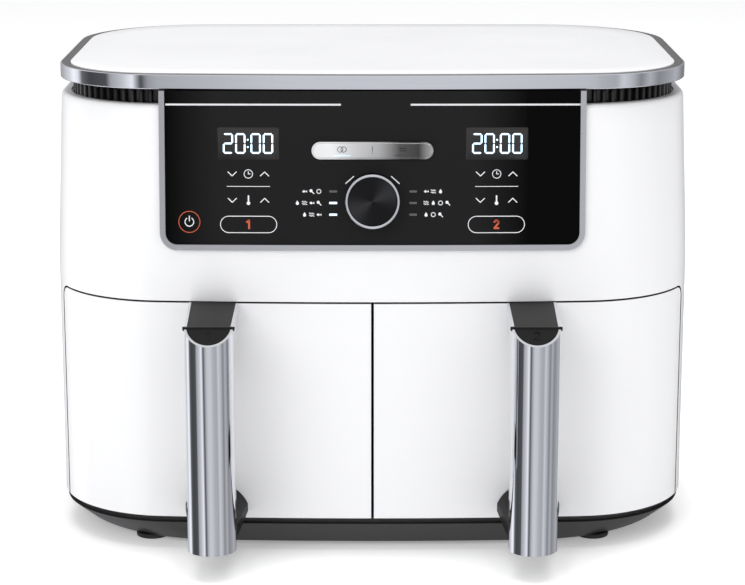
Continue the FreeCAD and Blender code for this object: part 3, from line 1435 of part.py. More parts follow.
def make_board():
    """Control board on the bosses, and a display module behind each half of the panel."""
    board = new_body("board")
    outline = rectangle(-d.board_half, d.board_half, -d.board_low, d.board_high)
    pad(board, "XZ", d.board_y, [outline], d.board_wall)
    place_on_panel(board)
    finish("control_board", board)
    modules = []
    for number, sign in SIDES:
        module = new_body(f"display_{number}")
        left, right = d.display_x - d.display_half, d.display_x + d.display_half
        low, high = d.display_v - d.display_tall / 2, d.display_v + d.display_tall / 2
        start = front_at(d.display_x, d.panel_wall) + d.layer_gap * 4
        window = mirrored(rectangle(left, right, low, high), sign)
        pad(module, "XZ", start, [window], d.board_y - start)
        modules.append(module)
    pair = group("display_pair", modules)
    place_on_panel(pair)
    finish("display_modules", pair)


make_upper_shell()
make_intake_neck()
make_lid()
make_base()
make_rear()
make_front_frame()
make_deck()
make_panel()
make_dial()
make_rocker()
make_board()
make_rails()
for zone, direction in SIDES:
    make_chamber(zone, direction)
    make_drawer_front(zone, direction)
    make_carrier(zone, direction)
    make_pan(zone, direction)
    make_crisper(zone, direction)
    make_handle(zone, direction)
    make_hot_air(zone, direction)
doc.recompute()

# ---------------------------------------------------------------- checks and files
for item in doc.Objects:
    if "Invalid" in item.State or "Error" in item.State:
        raise RuntimeError(f"{item.Name} ({item.Label}) failed: {item.State}")
os.makedirs("parts", exist_ok=True)
for label, piece in pieces.items():
    shape = piece.Shape
    if shape.isNull() or not shape.isValid() or not shape.Solids:
        raise RuntimeError(f"{label} has no sound shape")
    print(f"{label}: {len(shape.Solids)} solids, {shape.Volume / 1000:.1f} cm3")
for label, piece in pieces.items():
    piece.Shape.exportStep(f"parts/{label}.step")
print(f"{len(pieces)} pieces")
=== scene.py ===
"""Two-zone air fryer: the surfaces, finishes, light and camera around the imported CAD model. Metres, +Z up."""
import json
import math

import bmesh
import bpy
import numpy as np
from bpy.props import FloatProperty, FloatVectorProperty, IntProperty, PointerProperty
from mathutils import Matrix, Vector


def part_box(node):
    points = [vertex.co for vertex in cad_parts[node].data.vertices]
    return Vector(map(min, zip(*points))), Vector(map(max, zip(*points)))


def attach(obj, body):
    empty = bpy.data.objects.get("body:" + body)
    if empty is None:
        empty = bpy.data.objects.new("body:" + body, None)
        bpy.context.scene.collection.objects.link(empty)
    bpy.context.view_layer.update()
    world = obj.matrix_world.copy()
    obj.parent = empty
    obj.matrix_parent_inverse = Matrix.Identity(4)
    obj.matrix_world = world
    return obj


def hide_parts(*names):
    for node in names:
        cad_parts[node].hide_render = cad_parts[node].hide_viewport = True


bl_info = {
    "name": "Air fryer",
    "version": (1, 0, 0),
    "blender": (4, 5, 0),
    "location": "View3D > Sidebar > Air fryer",
    "description": "Builds the visible surfaces and finishes of a two-zone air fryer",
    "category": "Add Mesh",
}

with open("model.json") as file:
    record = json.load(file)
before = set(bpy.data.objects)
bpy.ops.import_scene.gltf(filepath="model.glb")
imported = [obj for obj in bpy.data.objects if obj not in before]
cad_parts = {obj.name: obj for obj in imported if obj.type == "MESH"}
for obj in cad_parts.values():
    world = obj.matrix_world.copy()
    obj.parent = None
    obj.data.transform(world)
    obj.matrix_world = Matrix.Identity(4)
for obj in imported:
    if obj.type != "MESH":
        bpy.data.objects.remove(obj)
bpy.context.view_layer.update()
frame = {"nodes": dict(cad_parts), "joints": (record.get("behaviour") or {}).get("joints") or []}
JOINTS = {joint["name"]: joint for joint in frame["joints"]}
ZONES = ((1, -1.0), (2, 1.0))
SHELL_LOW, SHELL_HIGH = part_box("upper_shell")
FRONT_LOW, FRONT_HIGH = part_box("drawer_front_2")
BAND_LOW, BAND_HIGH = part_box("rim_band")
COVER_LOW, COVER_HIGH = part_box("rear_cover")
EDGE_GAP = 0.0003  # between the edges of neighbouring pieces
ACROSS = np.array([1.0, 0.0, 0.0])


# ---------------------------------------------------------------- sizes and colours
def length(name, description, default):
    """A size in metres."""
    return FloatProperty(name=name, description=description, default=default, unit="LENGTH", precision=5)


def colour(name, description, default):
    """A colour of a finish, linear red, green and blue."""
    return FloatVectorProperty(
        name=name, description=description, default=default, subtype="COLOR", size=3, min=0.0, max=1.0
    )


class HousingSizes(bpy.types.PropertyGroup):
    bow: length("Bow", "Radius of the bowed front", 1.96)
    corner: length("Front corner", "Radius of the front corners", 0.078)
    rear_corner: length("Rear corner", "Radius of the rear corners", 0.086)
    wall: length("Wall", "Wall of the housing", 0.003)
    top_round: length("Top edge", "Rounded top edge of the housing", 0.003)
    top_flange: length("Top flange", "Flat edge inside the rounded top edge", 0.0034)
    lean_start: length("Lean start", "Height at which the front starts to lean back", 0.188)
    lean_soft: length("Lean blend", "Softness of the start of the lean", 0.006)
    taper: length("Taper", "How much each side comes in towards the top", 0.0033)
    overhang: length("Overhang", "Lower front edge of the housing", 0.1687)
    seam: length("Seam", "Gap of the side seams", 0.0016)
    seam_ahead: length("Seam place", "Side seam in front of the end of the drawer front", 0.006)
    drawer_round: length("Drawer corner", "Radius of the upper outer corner of a drawer front", 0.0075)
    edge: length("Edge", "Rounded edges of the housing and the drawer fronts", 0.0006)
    panel_room: length("Panel opening", "Opening behind the control panel, beyond the glass", 0.0012)
    panel_low_room: length("Panel opening low", "Lower edge of that opening, above the glass edge", 0.0002)


class LidSizes(bpy.types.PropertyGroup):
    corner: length("Front corner", "Front corner radius of the lid", 0.070)
    rear_corner: length("Rear corner", "Rear corner radius of the lid", 0.088)
    rim: length("Rim", "Width of the rim", 0.0064)
    band: length("Band", "Thickness of the metal band", 0.0012)
    edge: length("Edge", "Rounded edges of the rim", 0.0007)
    band_edge: length("Band edge", "Rounded edges of the metal band", 0.0005)
    panel_wall: length("Panel wall", "Thickness of the white top panel", 0.003)
    neck: length("Neck", "Intake wall behind the edge of the lid", 0.0115)
    rib_pitch: length("Rib pitch", "Spacing of the intake ribs", 0.0057)
    rib_width: length("Rib width", "Width of an intake rib", 0.0031)
    rib_depth: length("Rib depth", "How far an intake rib stands out", 0.0032)


class PanelSizes(bpy.types.PropertyGroup):
    half: length("Half width", "Half the width of the glass", 0.1328)
    low: length("Low", "Lower edge of the glass below the dial", 0.0283)
    high: length("High", "Upper edge of the glass above the dial", 0.070)
    corner: length("Corner", "Lower corner radius of the glass", 0.0075)
    wall: length("Wall", "Thickness of the glass", 0.003)
    strip: length("Strip", "Width of the silver frame", 0.0038)
    proud: length("Proud", "Silver frame in front of the glass", 0.0012)
    dial: length("Dial", "Radius of the dial ring", 0.01745)
    dial_wall: length("Dial ring", "Width of the dial ring", 0.0018)
    dial_proud: length("Dial height", "Dial in front of the glass", 0.009)
    dial_hole: length("Dial hole", "Radius of the hole round the dial", 0.0178)
    rocker: length("Rocker", "Half the length of the rocker", 0.0389)
    rocker_tall: length("Rocker height", "Height of the rocker", 0.0111)
    rocker_up: length("Rocker place", "Rocker above the dial", 0.0321)
    rocker_gap: length("Rocker gap", "Gap round the rocker", 0.0004)


class Finishes(bpy.types.PropertyGroup):
    white: colour("White", "Housing, lid and drawer fronts", (0.90, 0.90, 0.905))
    rim: colour("Rim", "Top face of the rim", (0.080, 0.075, 0.076))
    chrome: colour("Chrome", "Band, dial ring and handles", (0.79, 0.80, 0.84))
    silver: colour("Silver", "Frame of the panel", (0.70, 0.70, 0.73))
    glass: colour("Glass", "Face of the control panel", (0.0052, 0.0052, 0.0054))
    black: colour("Black", "Handle cores and inner frames", (0.0095, 0.009, 0.0088))
    base: colour("Base", "Base tray", (0.040, 0.0385, 0.037))
    marks: colour("Marks", "Printed marks on the panel", (0.80, 0.80, 0.82))
    orange: colour("Orange", "Zone numbers and the power ring", (0.52, 0.10, 0.04))
    digits: colour("Digits", "Lit digits", (0.62, 0.82, 1.0))


class FryerSettings(bpy.types.PropertyGroup):
    housing: PointerProperty(type=HousingSizes)
    lid: PointerProperty(type=LidSizes)
    panel: PointerProperty(type=PanelSizes)
    finishes: PointerProperty(type=Finishes)
    round_steps: IntProperty(
        name="Round steps", description="Steps of a rounded edge", default=4, min=2, max=12
    )


# ---------------------------------------------------------------- shader maths
class Value:
    """A shader socket with arithmetic: each operation adds one Math node."""

    def __init__(self, net, socket):
        self.net = net
        self.socket = socket

    def math(self, operation, *others, clamp=False):
        values = {index: value for index, value in enumerate((self,) + others)}
        node = self.net.add("ShaderNodeMath", {"operation": operation, "use_clamp": clamp}, values)
        return Value(self.net, node.outputs[0])

    def __add__(self, other):
        return self.math("ADD", other)

    __radd__ = __add__

    def __mul__(self, other):
        return self.math("MULTIPLY", other)

    __rmul__ = __mul__

    def __sub__(self, other):
        return self.math("SUBTRACT", other)

    def __rsub__(self, other):
        return self * -1.0 + other

    def __truediv__(self, other):
        return self.math("DIVIDE", other)

    def power(self, other):
        return self.math("POWER", other)

    def sine(self):
        return self.math("SINE")


class Net:
    """The node tree of one material or of the world."""

    def __init__(self, tree):
        self.tree = tree
        tree.nodes.clear()

    def add(self, kind, settings=None, sockets=None):
        """Makes a node: its settings first, then the value or the link of each socket."""
        node = self.tree.nodes.new(kind)
        for name, value in (settings or {}).items():
            setattr(node, name, value)
        for name, value in (sockets or {}).items():
            if isinstance(value, Value):
                value = value.socket
            if isinstance(value, bpy.types.NodeSocket):
                self.tree.links.new(value, node.inputs[name])
            else:
                node.inputs[name].default_value = value
        return node

    def object_x(self):
        """Distance across the object."""
        place = self.add("ShaderNodeTexCoord").outputs["Object"]
        return Value(self, self.add("ShaderNodeSeparateXYZ", None, {"Vector": place}).outputs["X"])

    def value(self, kind, output, settings=None, sockets=None):
        return Value(self, self.add(kind, settings, sockets).outputs[output])

    def coordinates(self, stretch=(1.0, 1.0, 1.0), turn=(0.0, 0.0, 0.0), shift=(0.0, 0.0, 0.0)):
        """Object coordinates, stretched, turned and shifted."""
        place = self.add("ShaderNodeTexCoord").outputs["Object"]
        mapping = {"Vector": place, "Scale": stretch, "Rotation": turn, "Location": shift}
        return self.add("ShaderNodeMapping", None, mapping).outputs["Vector"]

    def noise(self, vector, scale, detail=2.0, roughness=0.5):
        sockets = {"Vector": vector, "Scale": scale, "Detail": detail, "Roughness": roughness}
        return self.value("ShaderNodeTexNoise", "Fac", None, sockets)

    def blend(self, factor, first, second):
        """Mixes two colours by a factor."""
        node = self.add("ShaderNodeMix", {"data_type": "RGBA"})
        for name, value in (("Factor", factor), ("A", first), ("B", second)):
            socket = [item for item in node.inputs if item.name == name and item.enabled][0]
            if isinstance(value, Value):
                value = value.socket
            if isinstance(value, bpy.types.NodeSocket):
                self.tree.links.new(value, socket)
            else:
                socket.default_value = value
        return [item for item in node.outputs if item.enabled][0]

    def bump(self, height, strength, distance):
        sockets = {"Height": height, "Strength": strength, "Distance": distance}
        return self.add("ShaderNodeBump", None, sockets).outputs["Normal"]


def rgba(values, scale=1.0):
    """A colour made lighter or darker, with full opacity."""
    return tuple(min(1.0, value * scale) for value in values) + (1.0,)


def new_net(name):
    """A new material with an empty node tree."""
    material = bpy.data.materials.new(name)
    material.use_nodes = True
    return material, Net(material.node_tree)


def close_net(net, sockets):
    """Joins a Principled shader to the output."""
    shader = net.add("ShaderNodeBsdfPrincipled", None, sockets)
    net.add("ShaderNodeOutputMaterial", None, {"Surface": shader.outputs["BSDF"]})


def plastic(
    name, base, roughness, grain=900.0, depth=0.00002, strength=0.25, coat=0.0, change=0.06, specular=0.5
):
    """Moulded plastic: a faint change of tone, a fine grain in the surface and uneven gloss."""
    material, net = new_net(name)
    place = net.coordinates()
    broad = net.noise(place, 9.0, 3.0)
    fine = net.noise(place, grain, 2.0, 0.6)
    tone = net.blend(broad, rgba(base, 1.0 - change), rgba(base, 1.0 + change))
    uneven = (broad - 0.5) * 0.10 + (fine - 0.5) * 0.06 + roughness
    sockets = {
        "Base Color": tone,
        "Roughness": uneven,
        "Normal": net.bump(fine, strength, depth),
        "Coat Weight": coat,
        "Coat Roughness": 0.12,
        "Specular IOR Level": specular,
    }
    close_net(net, sockets)
    return material


def polished(name, base, roughness, along=(40.0, 40.0, 2.0), wave=0.00002, metallic=1.0):
    """Plated or polished metal: faint drawn lines along one direction, slight waves and smears."""
    material, net = new_net(name)
    lines = net.noise(net.coordinates(along), 12.0, 4.0, 0.6)
    smear = net.noise(net.coordinates(), 22.0, 3.0)
    tone = net.blend(lines, rgba(base, 0.94), rgba(base, 1.03))
    uneven = (smear - 0.5) * 0.05 + (lines - 0.5) * 0.04 + roughness
    sockets = {
        "Base Color": tone,
        "Metallic": metallic,
        "Roughness": uneven,
        "Normal": net.bump(smear, 0.2, wave),
    }
    close_net(net, sockets)
    return material


def brushed(name, base, roughness, along, metallic=1.0, depth=0.00003):
    """Brushed metal: fine parallel scratches in the surface."""
    material, net = new_net(name)
    scratches = net.noise(net.coordinates(along), 30.0, 5.0, 0.7)
    cloud = net.noise(net.coordinates(), 14.0, 3.0)
    tone = net.blend(scratches, rgba(base, 0.86), rgba(base, 1.08))
    uneven = (scratches - 0.5) * 0.16 + (cloud - 0.5) * 0.10 + roughness
    sockets = {
        "Base Color": tone,
        "Metallic": metallic,
        "Roughness": uneven,
        "Normal": net.bump(scratches, 0.35, depth),
    }
    close_net(net, sockets)
    return material


def silver_with_painted_reflection(name):
    """Silver film of the rocker with a painted reflection in its colour: bright at its left end, darker to the
    right, with fine lengthwise lines.
    """
    material, net = new_net(name)
    span = bpy.context.scene.fryer.panel.rocker * 2.0
    # painted reflection: the colour ramp across the rocker runs bright at its left end and dark to the right
    share = (net.object_x() * (1.0 / span) + 0.5).math("MULTIPLY", 1.0, clamp=True)
    ramp = net.add("ShaderNodeValToRGB", None, {"Fac": share})
    shade(ramp, (
        (0.0, 0.85), (0.16, 0.88), (0.34, 0.62), (0.55, 0.42), (0.72, 0.09), (0.88, 0.05), (1.0, 0.40),
    ))
    lines = net.noise(net.coordinates((2.0, 60.0, 60.0)), 30.0, 4.0, 0.6)
    close_net(net, {
        "Base Color": ramp.outputs["Color"],
        "Metallic": 0.25,
        "Specular IOR Level": 0.2,
        "Roughness": (lines - 0.5) * 0.12 + 0.38,
        "Normal": net.bump(lines, 0.2, 0.00002),
    })
    return material


def shade(ramp, stops, tint=(1.0, 1.0, 1.0)):
    """Gives a colour ramp its stops of (place, brightness)."""
    points = ramp.color_ramp.elements
    while len(points) > 1:
        points.remove(points[-1])
    points[0].position = stops[0][0]
    points[0].color = tuple(stops[0][1] * part for part in tint) + (1.0,)
    for place, light in stops[1:]:
        points.new(place).color = tuple(light * part for part in tint) + (1.0,)


def glowing(name, base, strength, roughness=0.35):
    """A mark that gives off its own colour, a little uneven: lamps, digits and the display window light up, while
    the glow on print and on metal lines is painted light.
    """
    material, net = new_net(name)
    cloud = net.noise(net.coordinates(), 260.0, 2.0)
    tone = net.blend(cloud, rgba(base, 0.92), rgba(base, 1.05))
    sockets = {
        "Base Color": tone,
        "Roughness": roughness,
        "Emission Color": tone,
        "Emission Strength": strength,
    }
    close_net(net, sockets)
    return material


def spun_metal(name, base, centre, normal):
    """Turned black face: rings too fine to count, and a sheen painted into its colour that changes round the
    middle.
    """
    material, net = new_net(name)
    tilt = math.atan2(normal[2], -normal[1])
    place = net.add("ShaderNodeTexCoord").outputs["Object"]
    moved = net.add("ShaderNodeVectorMath", {"operation": "SUBTRACT"}, {0: place, 1: tuple(centre)})
    turned = net.add(
        "ShaderNodeVectorRotate",
        {"rotation_type": "X_AXIS"},
        {"Vector": moved.outputs[0], "Angle": tilt},
    )
    split = net.add("ShaderNodeSeparateXYZ", None, {"Vector": turned.outputs[0]})
    across, up = Value(net, split.outputs["X"]), Value(net, split.outputs["Z"])
    distance = (across * across + up * up).power(0.5)
    rings = (distance * 9000.0).sine()
    angle = up.math("ARCTAN2", across)
    # painted sheen: the colour is up to four times lighter in two lobes round the middle
    painted_sheen_fans = (angle * 2.0 + 0.6).sine() * 0.5 + 0.5
    sheen = painted_sheen_fans.power(3.0)
    tone = net.blend(sheen, rgba(base), rgba(base, 4.0))
    sockets = {
        "Base Color": tone,
        "Metallic": 0.85,
        "Roughness": sheen * 0.12 + 0.27,
        "Normal": net.bump(rings, 0.12, 0.00002),
    }
    close_net(net, sockets)
    return material


def panel_glass(name, base):
    """Smoked gloss panel over a dark printed ground, a little lighter left of the middle by a painted reflection,
    with faint smears.
    """
    material, net = new_net(name)
    across = net.object_x()
    # painted reflection: the colour is lighter from near the left edge to a little right of the middle, and dark
    # on the right
    painted_reflection_left = (across * -5.2 + 0.52).math("MULTIPLY", (across + 0.133) * 28.0, clamp=True)
    smear = net.noise(net.coordinates(), 6.0, 4.0, 0.55)
    dust = net.noise(net.coordinates(), 700.0, 1.0)
    tone = net.blend((smear * 0.3 + 0.85) * painted_reflection_left, rgba(base, 0.15), rgba(base, 2.7))
    sockets = {
        "Base Color": tone,
        "Roughness": (smear - 0.5) * 0.06 + 0.14,
        "Specular IOR Level": 0.06,
        "Normal": net.bump(dust, 0.05, 0.00001),
    }
    close_net(net, sockets)
    return material


MATERIALS = {}


def material(name):
    """Makes each finish once, when it is first asked for."""
    tones = bpy.context.scene.fryer.finishes
    turn = JOINTS["dial_turn"]
    makers = {
        "white": lambda: plastic("white plastic", tones.white, 0.24, 520.0, 0.00001, 0.12, 0.25, 0.012),
        "rim": lambda: plastic("rim plastic", tones.rim, 0.42, 1400.0, 0.00002, 0.2),
        "black": lambda: plastic("black plastic", tones.black, 0.46, 1500.0, 0.00003, 0.35, 0.0, 0.12, 0.2),
        "neck": lambda: plastic("intake plastic", tones.black, 0.30, 900.0, 0.00002, 0.25, 0.2, 0.12),
        "base": lambda: plastic("base plastic", tones.base, 0.44, 1300.0, 0.00003, 0.3, 0.0, 0.08),
        "chrome": lambda: polished("bright chrome", tones.chrome, 0.055),
        "band": lambda: polished("bright band", tones.chrome, 0.07, (2.0, 2.0, 60.0)),
        "silver": lambda: brushed("satin silver", tones.silver, 0.32, (4.0, 4.0, 60.0)),
        # rocker: silver with a painted reflection, bright at the left end and dark to the right
        "rocker": lambda: silver_with_painted_reflection("rocker silver with painted reflection"),
        # glass: with a painted reflection, lighter left of the middle
        "glass": lambda: panel_glass("panel glass", tones.glass),
        # spun: turned face with a painted sheen
        "spun": lambda: spun_metal("spun face", (0.012, 0.012, 0.013), turn["pos_m"], turn["axis"]),
        "steel": lambda: brushed("chamber steel", (0.50, 0.50, 0.51), 0.34, (4.0, 60.0, 4.0)),
        "fan": lambda: brushed("fan metal", (0.62, 0.62, 0.64), 0.36, (18.0, 18.0, 60.0)),
        "shaft": lambda: polished("shaft steel", (0.62, 0.62, 0.64), 0.22),
        "heater": lambda: brushed("heater tube", (0.16, 0.14, 0.13), 0.46, (30.0, 30.0, 30.0), 0.8),
        "motor": lambda: brushed("motor steel", (0.42, 0.42, 0.44), 0.40, (5.0, 5.0, 60.0)),
        "screw": lambda: polished("screw steel", (0.50, 0.50, 0.52), 0.3),
        "coat": lambda: plastic("pan coating", (0.035, 0.035, 0.037), 0.33, 1100.0, 0.00005, 0.5, 0.2, 0.2),
        "silicone": lambda: plastic("silicone", (0.03, 0.03, 0.03), 0.62, 600.0, 0.00002, 0.2),
        "rubber": lambda: plastic("foot rubber", (0.022, 0.022, 0.022), 0.68, 500.0, 0.00005, 0.4),
        "board": lambda: plastic("board", (0.02, 0.10, 0.045), 0.38, 300.0, 0.00004, 0.3, 0.1, 0.15),
        "pale": lambda: plastic("fan plastic", (0.55, 0.55, 0.53), 0.45, 700.0, 0.00003, 0.3),
        # marks: print with a faint glow painted on, though it is no lamp
        "marks": lambda: glowing("printed marks with painted glow", tones.marks, 0.16),
        "dim": lambda: glowing("dark lamps", (0.10, 0.10, 0.105), 0.02),
        "lamp": lambda: glowing("lit lamps", (0.62, 0.80, 1.0), 0.8),
        "digits": lambda: glowing("lit digits", tones.digits, 1.25),
        # orange: print with a faint glow painted on, though it is no lamp
        "orange": lambda: glowing("orange marks with painted glow", tones.orange, 0.18),
        "window": lambda: glowing("display window", (0.016, 0.014, 0.0135), 0.25, 0.35),
        # silver line: metal given a glow as a painted highlight in place of its reflection
        "metal_line_painted_glow": lambda: glowing("silver line", (0.66, 0.66, 0.68), 0.12, 0.3),
    }
    if name not in MATERIALS:
        MATERIALS[name] = makers[name]()
    return MATERIALS[name]


# ---------------------------------------------------------------- mesh helpers
def grid_faces(rows, columns, round_columns=False, round_rows=False):
    """Quads of a grid of points, row after row; a round grid joins its last row or column to the first."""
    row = np.arange(rows if round_rows else rows - 1)
    column = np.arange(columns if round_columns else columns - 1)
    r0, c0 = np.meshgrid(row, column, indexing="ij")
    r1, c1 = (r0 + 1) % rows, (c0 + 1) % columns
    quads = (r0 * columns + c0, r0 * columns + c1, r1 * columns + c1, r1 * columns + c0)
    return np.stack(quads, axis=-1).reshape(-1, 4)


def joined(parts):
    """Several (points, faces) pairs as one list of points and one of faces."""
    points, faces, start = [], [], 0
    for part_points, part_faces in parts:
        part_points = np.asarray(part_points, float).reshape(-1, 3)
        points.append(part_points)
        faces.extend([[int(index) + start for index in face] for face in part_faces])
        start += len(part_points)
    return np.concatenate(points), faces


def flipped(part):
    """The mirror image across the middle plane, still facing outwards."""
    points, faces = part
    mirrored = np.asarray(points, float).reshape(-1, 3) * (-1.0, 1.0, 1.0)
    return mirrored, [list(face)[::-1] for face in faces]


def clean(mesh, weld, recalculate):
    """Merges doubles, drops faces without area and, on closed shapes, turns the faces outwards."""
    work = bmesh.new()
    work.from_mesh(mesh)
    bmesh.ops.remove_doubles(work, verts=work.verts, dist=weld)
    bmesh.ops.dissolve_degenerate(work, edges=work.edges, dist=weld)
    loose = [vertex for vertex in work.verts if not vertex.link_faces]
    bmesh.ops.delete(work, geom=loose, context="VERTS")
    if recalculate:
        bmesh.ops.recalc_face_normals(work, faces=work.faces)
    work.to_mesh(mesh)
    work.free()


def smooth(item, angle=38.0):
    """Smooth shading, but for edges sharper than the angle."""
    item.data.polygons.foreach_set("use_smooth", np.ones(len(item.data.polygons), bool))
    item.data.set_sharp_from_angle(angle=math.radians(angle))


def settle(item, body, finish, stands_for=()):
    """Gives a piece its finish and its body, and hides the CAD nodes that it stands for."""
    item.data.materials.clear()
    item.data.materials.append(material(finish))
    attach(item, body)
    if stands_for:
        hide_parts(*stands_for)
    return item


def stacked(rings):
    """A closed solid through a stack of rings of equally many points, with a flat face at each end."""
    count = len(rings[0])
    faces = [list(face) for face in grid_faces(len(rings), count, True)]
    faces += [list(range(count))[::-1], list(range(count * (len(rings) - 1), count * len(rings)))]
    return np.concatenate(rings), faces


def new_piece(
    name, parts, body, finish, stands_for=(), closed=True, wall=0.0, edge=0.0, steps=3, weld=1e-6,
    rim=None,
):
    """Makes one piece from (points, faces) pairs; an open sheet gets its wall inwards, then rounded edges."""
    points, faces = joined(parts)
    mesh = bpy.data.meshes.new(name)
    mesh.from_pydata(points.tolist(), [], faces)
    clean(mesh, weld, closed)
    item = bpy.data.objects.new(name, mesh)
    bpy.context.scene.collection.objects.link(item)
    smooth(item)
    if wall:
        solid = item.modifiers.new("wall", "SOLIDIFY")
        solid.thickness = wall
        solid.offset = -1.0
        solid.use_even_offset = True
    if edge:
        rounded = item.modifiers.new("edge", "BEVEL")
        rounded.width = edge
        rounded.segments = steps
        rounded.limit_method = "ANGLE"
        rounded.angle_limit = math.radians(40.0)
        rounded.harden_normals = True
        rounded.material = 0
    settle(item, body, finish, stands_for)
    if rim:
        item.data.materials.append(material(rim))
        solid.material_offset_rim = 1
        solid.material_offset = 1
    return item


def from_cad(name, node, body, finish, edge=0.0, steps=2, angle=38.0):
    """A copy of a CAD node with merged points, flat faces joined up, rounded edges and smooth shading."""
    mesh = frame["nodes"][node].data.copy()
    mesh.name = name
    work = bmesh.new()
    work.from_mesh(mesh)
    bmesh.ops.remove_doubles(work, verts=work.verts, dist=2e-6)
    bmesh.ops.dissolve_limit(
        work, angle_limit=math.radians(0.6), verts=work.verts, edges=work.edges, delimit={"SHARP"}
    )
    work.to_mesh(mesh)
    work.free()
    if mesh.has_custom_normals:
        mesh.normals_split_custom_set([(0.0, 0.0, 0.0)] * len(mesh.loops))
    item = bpy.data.objects.new(name, mesh)
    bpy.context.scene.collection.objects.link(item)
    smooth(item, angle)
    if edge:
        rounded = item.modifiers.new("edge", "BEVEL")
        rounded.width = edge
        rounded.segments = steps
        rounded.limit_method = "ANGLE"
        rounded.angle_limit = math.radians(45.0)
        rounded.harden_normals = True
    even = item.modifiers.new("even", "WEIGHTED_NORMAL")
    even.keep_sharp = True
    return settle(item, body, finish, (node,))


# ---------------------------------------------------------------- plan of the housing
SEGMENTS = 5


class Plan:
    """Half a plan outline: bowed front, round front corner, side, round rear corner and back."""

    def __init__(self, half, front, bow, corner, rear, rear_corner):
        self.half, self.front, self.bow, self.corner = half, front, bow, corner
        self.rear, self.rear_corner = rear, rear_corner
        self.across = half - corner
        reach = bow - corner
        self.touch = math.asin(self.across / reach)
        self.along = front + bow - math.cos(self.touch) * reach

    def point(self, segment, share, inset):
        """x, y at a share of one segment, moved inwards: arcs by angle, straight runs by length."""
        share = np.asarray(share, float)
        if segment == 0:
            angle, radius, middle = self.touch * share, self.bow - inset, (0.0, self.front + self.bow)
        elif segment == 1:
            angle = self.touch + (math.pi / 2 - self.touch) * share
            radius, middle = self.corner - inset, (self.across, self.along)
        elif segment == 3:
            angle = math.pi / 2 * (1 + share)
            radius = self.rear_corner - inset
            middle = (self.half - self.rear_corner, self.rear - self.rear_corner)
        elif segment == 2:
            y = self.along + (self.rear - self.rear_corner - self.along) * share
            return np.stack([np.full_like(share, self.half - inset), y], axis=-1)
        else:
            x = (self.half - self.rear_corner) * (1 - share)
            return np.stack([x, np.full_like(share, self.rear - inset)], axis=-1)
        x = middle[0] + radius * np.sin(angle)
        return np.stack([x, middle[1] - radius * np.cos(angle)], axis=-1)

    def points(self, stations, inset):
        """x, y of all stations, which are segment + share of it."""
        stations = np.asarray(stations, float)
        segment = np.minimum(stations.astype(int), SEGMENTS - 1)
        result = np.zeros((len(stations), 2))
        for index in range(SEGMENTS):
            here = segment == index
            result[here] = self.point(index, stations[here] - index, inset)
        return result


def stations(counts=(26, 18, 14, 20, 12), extra=()):
    """Evenly spaced places along half the outline, and the extra ones that edges need."""
    spaced = [index + np.arange(count) / count for index, count in enumerate(counts)]
    return np.unique(np.concatenate(spaced + [np.array([float(SEGMENTS)]), np.array(extra, float)]))


def whole_loop(half):
    """Half an outline and its mirror image as one closed loop, anticlockwise from above."""
    return np.concatenate([half[::-1][:-1] * (-1.0, 1.0), half[:-1]])


def swept_loop(levels, round_rows=False, counts=(26, 18, 14, 20, 12)):
    """A profile carried round the plan: each level is (plan, inset, height)."""
    places = stations(counts)
    rows = []
    for plan, inset, height in levels:
        loop = whole_loop(plan.points(places, inset))
        rows.append(np.column_stack([loop, np.full(len(loop), height)]))
    points = np.stack(rows)
    faces = grid_faces(len(rows), points.shape[1], True, round_rows)
    return points.reshape(-1, 3), [list(face) for face in faces]


def capped(part, rows):
    """A swept loop of open rows with its first and last row closed by flat faces."""
    points, faces = part
    count = len(points) // rows
    return points, faces + [list(range(count))[::-1], list(range(len(points) - count, len(points)))]


def lean_of(height, sizes):
    """Smooth start of the lean: 0 below it, then the height above it."""
    over = (height - sizes.lean_start) / sizes.lean_soft
    return sizes.lean_soft * float(np.logaddexp(0.0, over))


def body_plan(height, sizes):
    """Plan of the housing at one height: upright below, leaning back and narrowing above."""
    rise = lean_of(height, sizes)
    full = SHELL_HIGH.z - sizes.lean_start
    axis = JOINTS["dial_turn"]["axis"]
    slope = -axis[2] / axis[1]
    half = SHELL_HIGH.x - sizes.taper * rise / full
    front = SHELL_LOW.y + slope * rise
    return Plan(half, front, sizes.bow, sizes.corner, SHELL_HIGH.y, sizes.rear_corner)


def lid_plan():
    """Plan of the lid, with the same bow as the housing."""
    settings = bpy.context.scene.fryer
    sizes = settings.lid
    bow = settings.housing.bow
    return Plan(BAND_HIGH.x, BAND_LOW.y, bow, sizes.corner, BAND_HIGH.y, sizes.rear_corner)


def station_of_y(plan, y):
    """Station on the front corner at one distance from the front."""
    angle = math.acos((plan.along - y) / plan.corner)
    return 1 + (angle - plan.touch) / (math.pi / 2 - plan.touch)


def station_of_x(plan, x):
    """Station on the bowed front at one distance from the middle."""
    return math.asin(x / plan.bow) / plan.touch


# ---------------------------------------------------------------- control panel plane
def panel_axes():
    """Middle of the dial, and the directions out of the panel and up along it."""
    turn = JOINTS["dial_turn"]
    origin, normal = np.array(turn["pos_m"]), np.array(turn["axis"])
    return origin, normal, np.array([0.0, normal[2], -normal[1]])


def panel_place(x, up, out):
    """Points of the bowed panel: across, up from the dial, and out of its face; the bow takes each point back
    by its radius less the root of radius squared less across squared."""
    origin, normal, upward = panel_axes()
    bow = bpy.context.scene.fryer.housing.bow
    x, up, out = np.broadcast_arrays(np.asarray(x, float), up, out)
    depth = out - (bow - np.sqrt(bow * bow - x * x))
    return origin + x[..., None] * ACROSS + up[..., None] * upward + depth[..., None] * normal


def prism(polygon, low, high):
    """A flat polygon of the panel plane given thickness, from `low` to `high` out of the face."""
    polygon = np.asarray(polygon, float)
    return stacked([panel_place(polygon[:, 0], polygon[:, 1], out) for out in (low, high)])


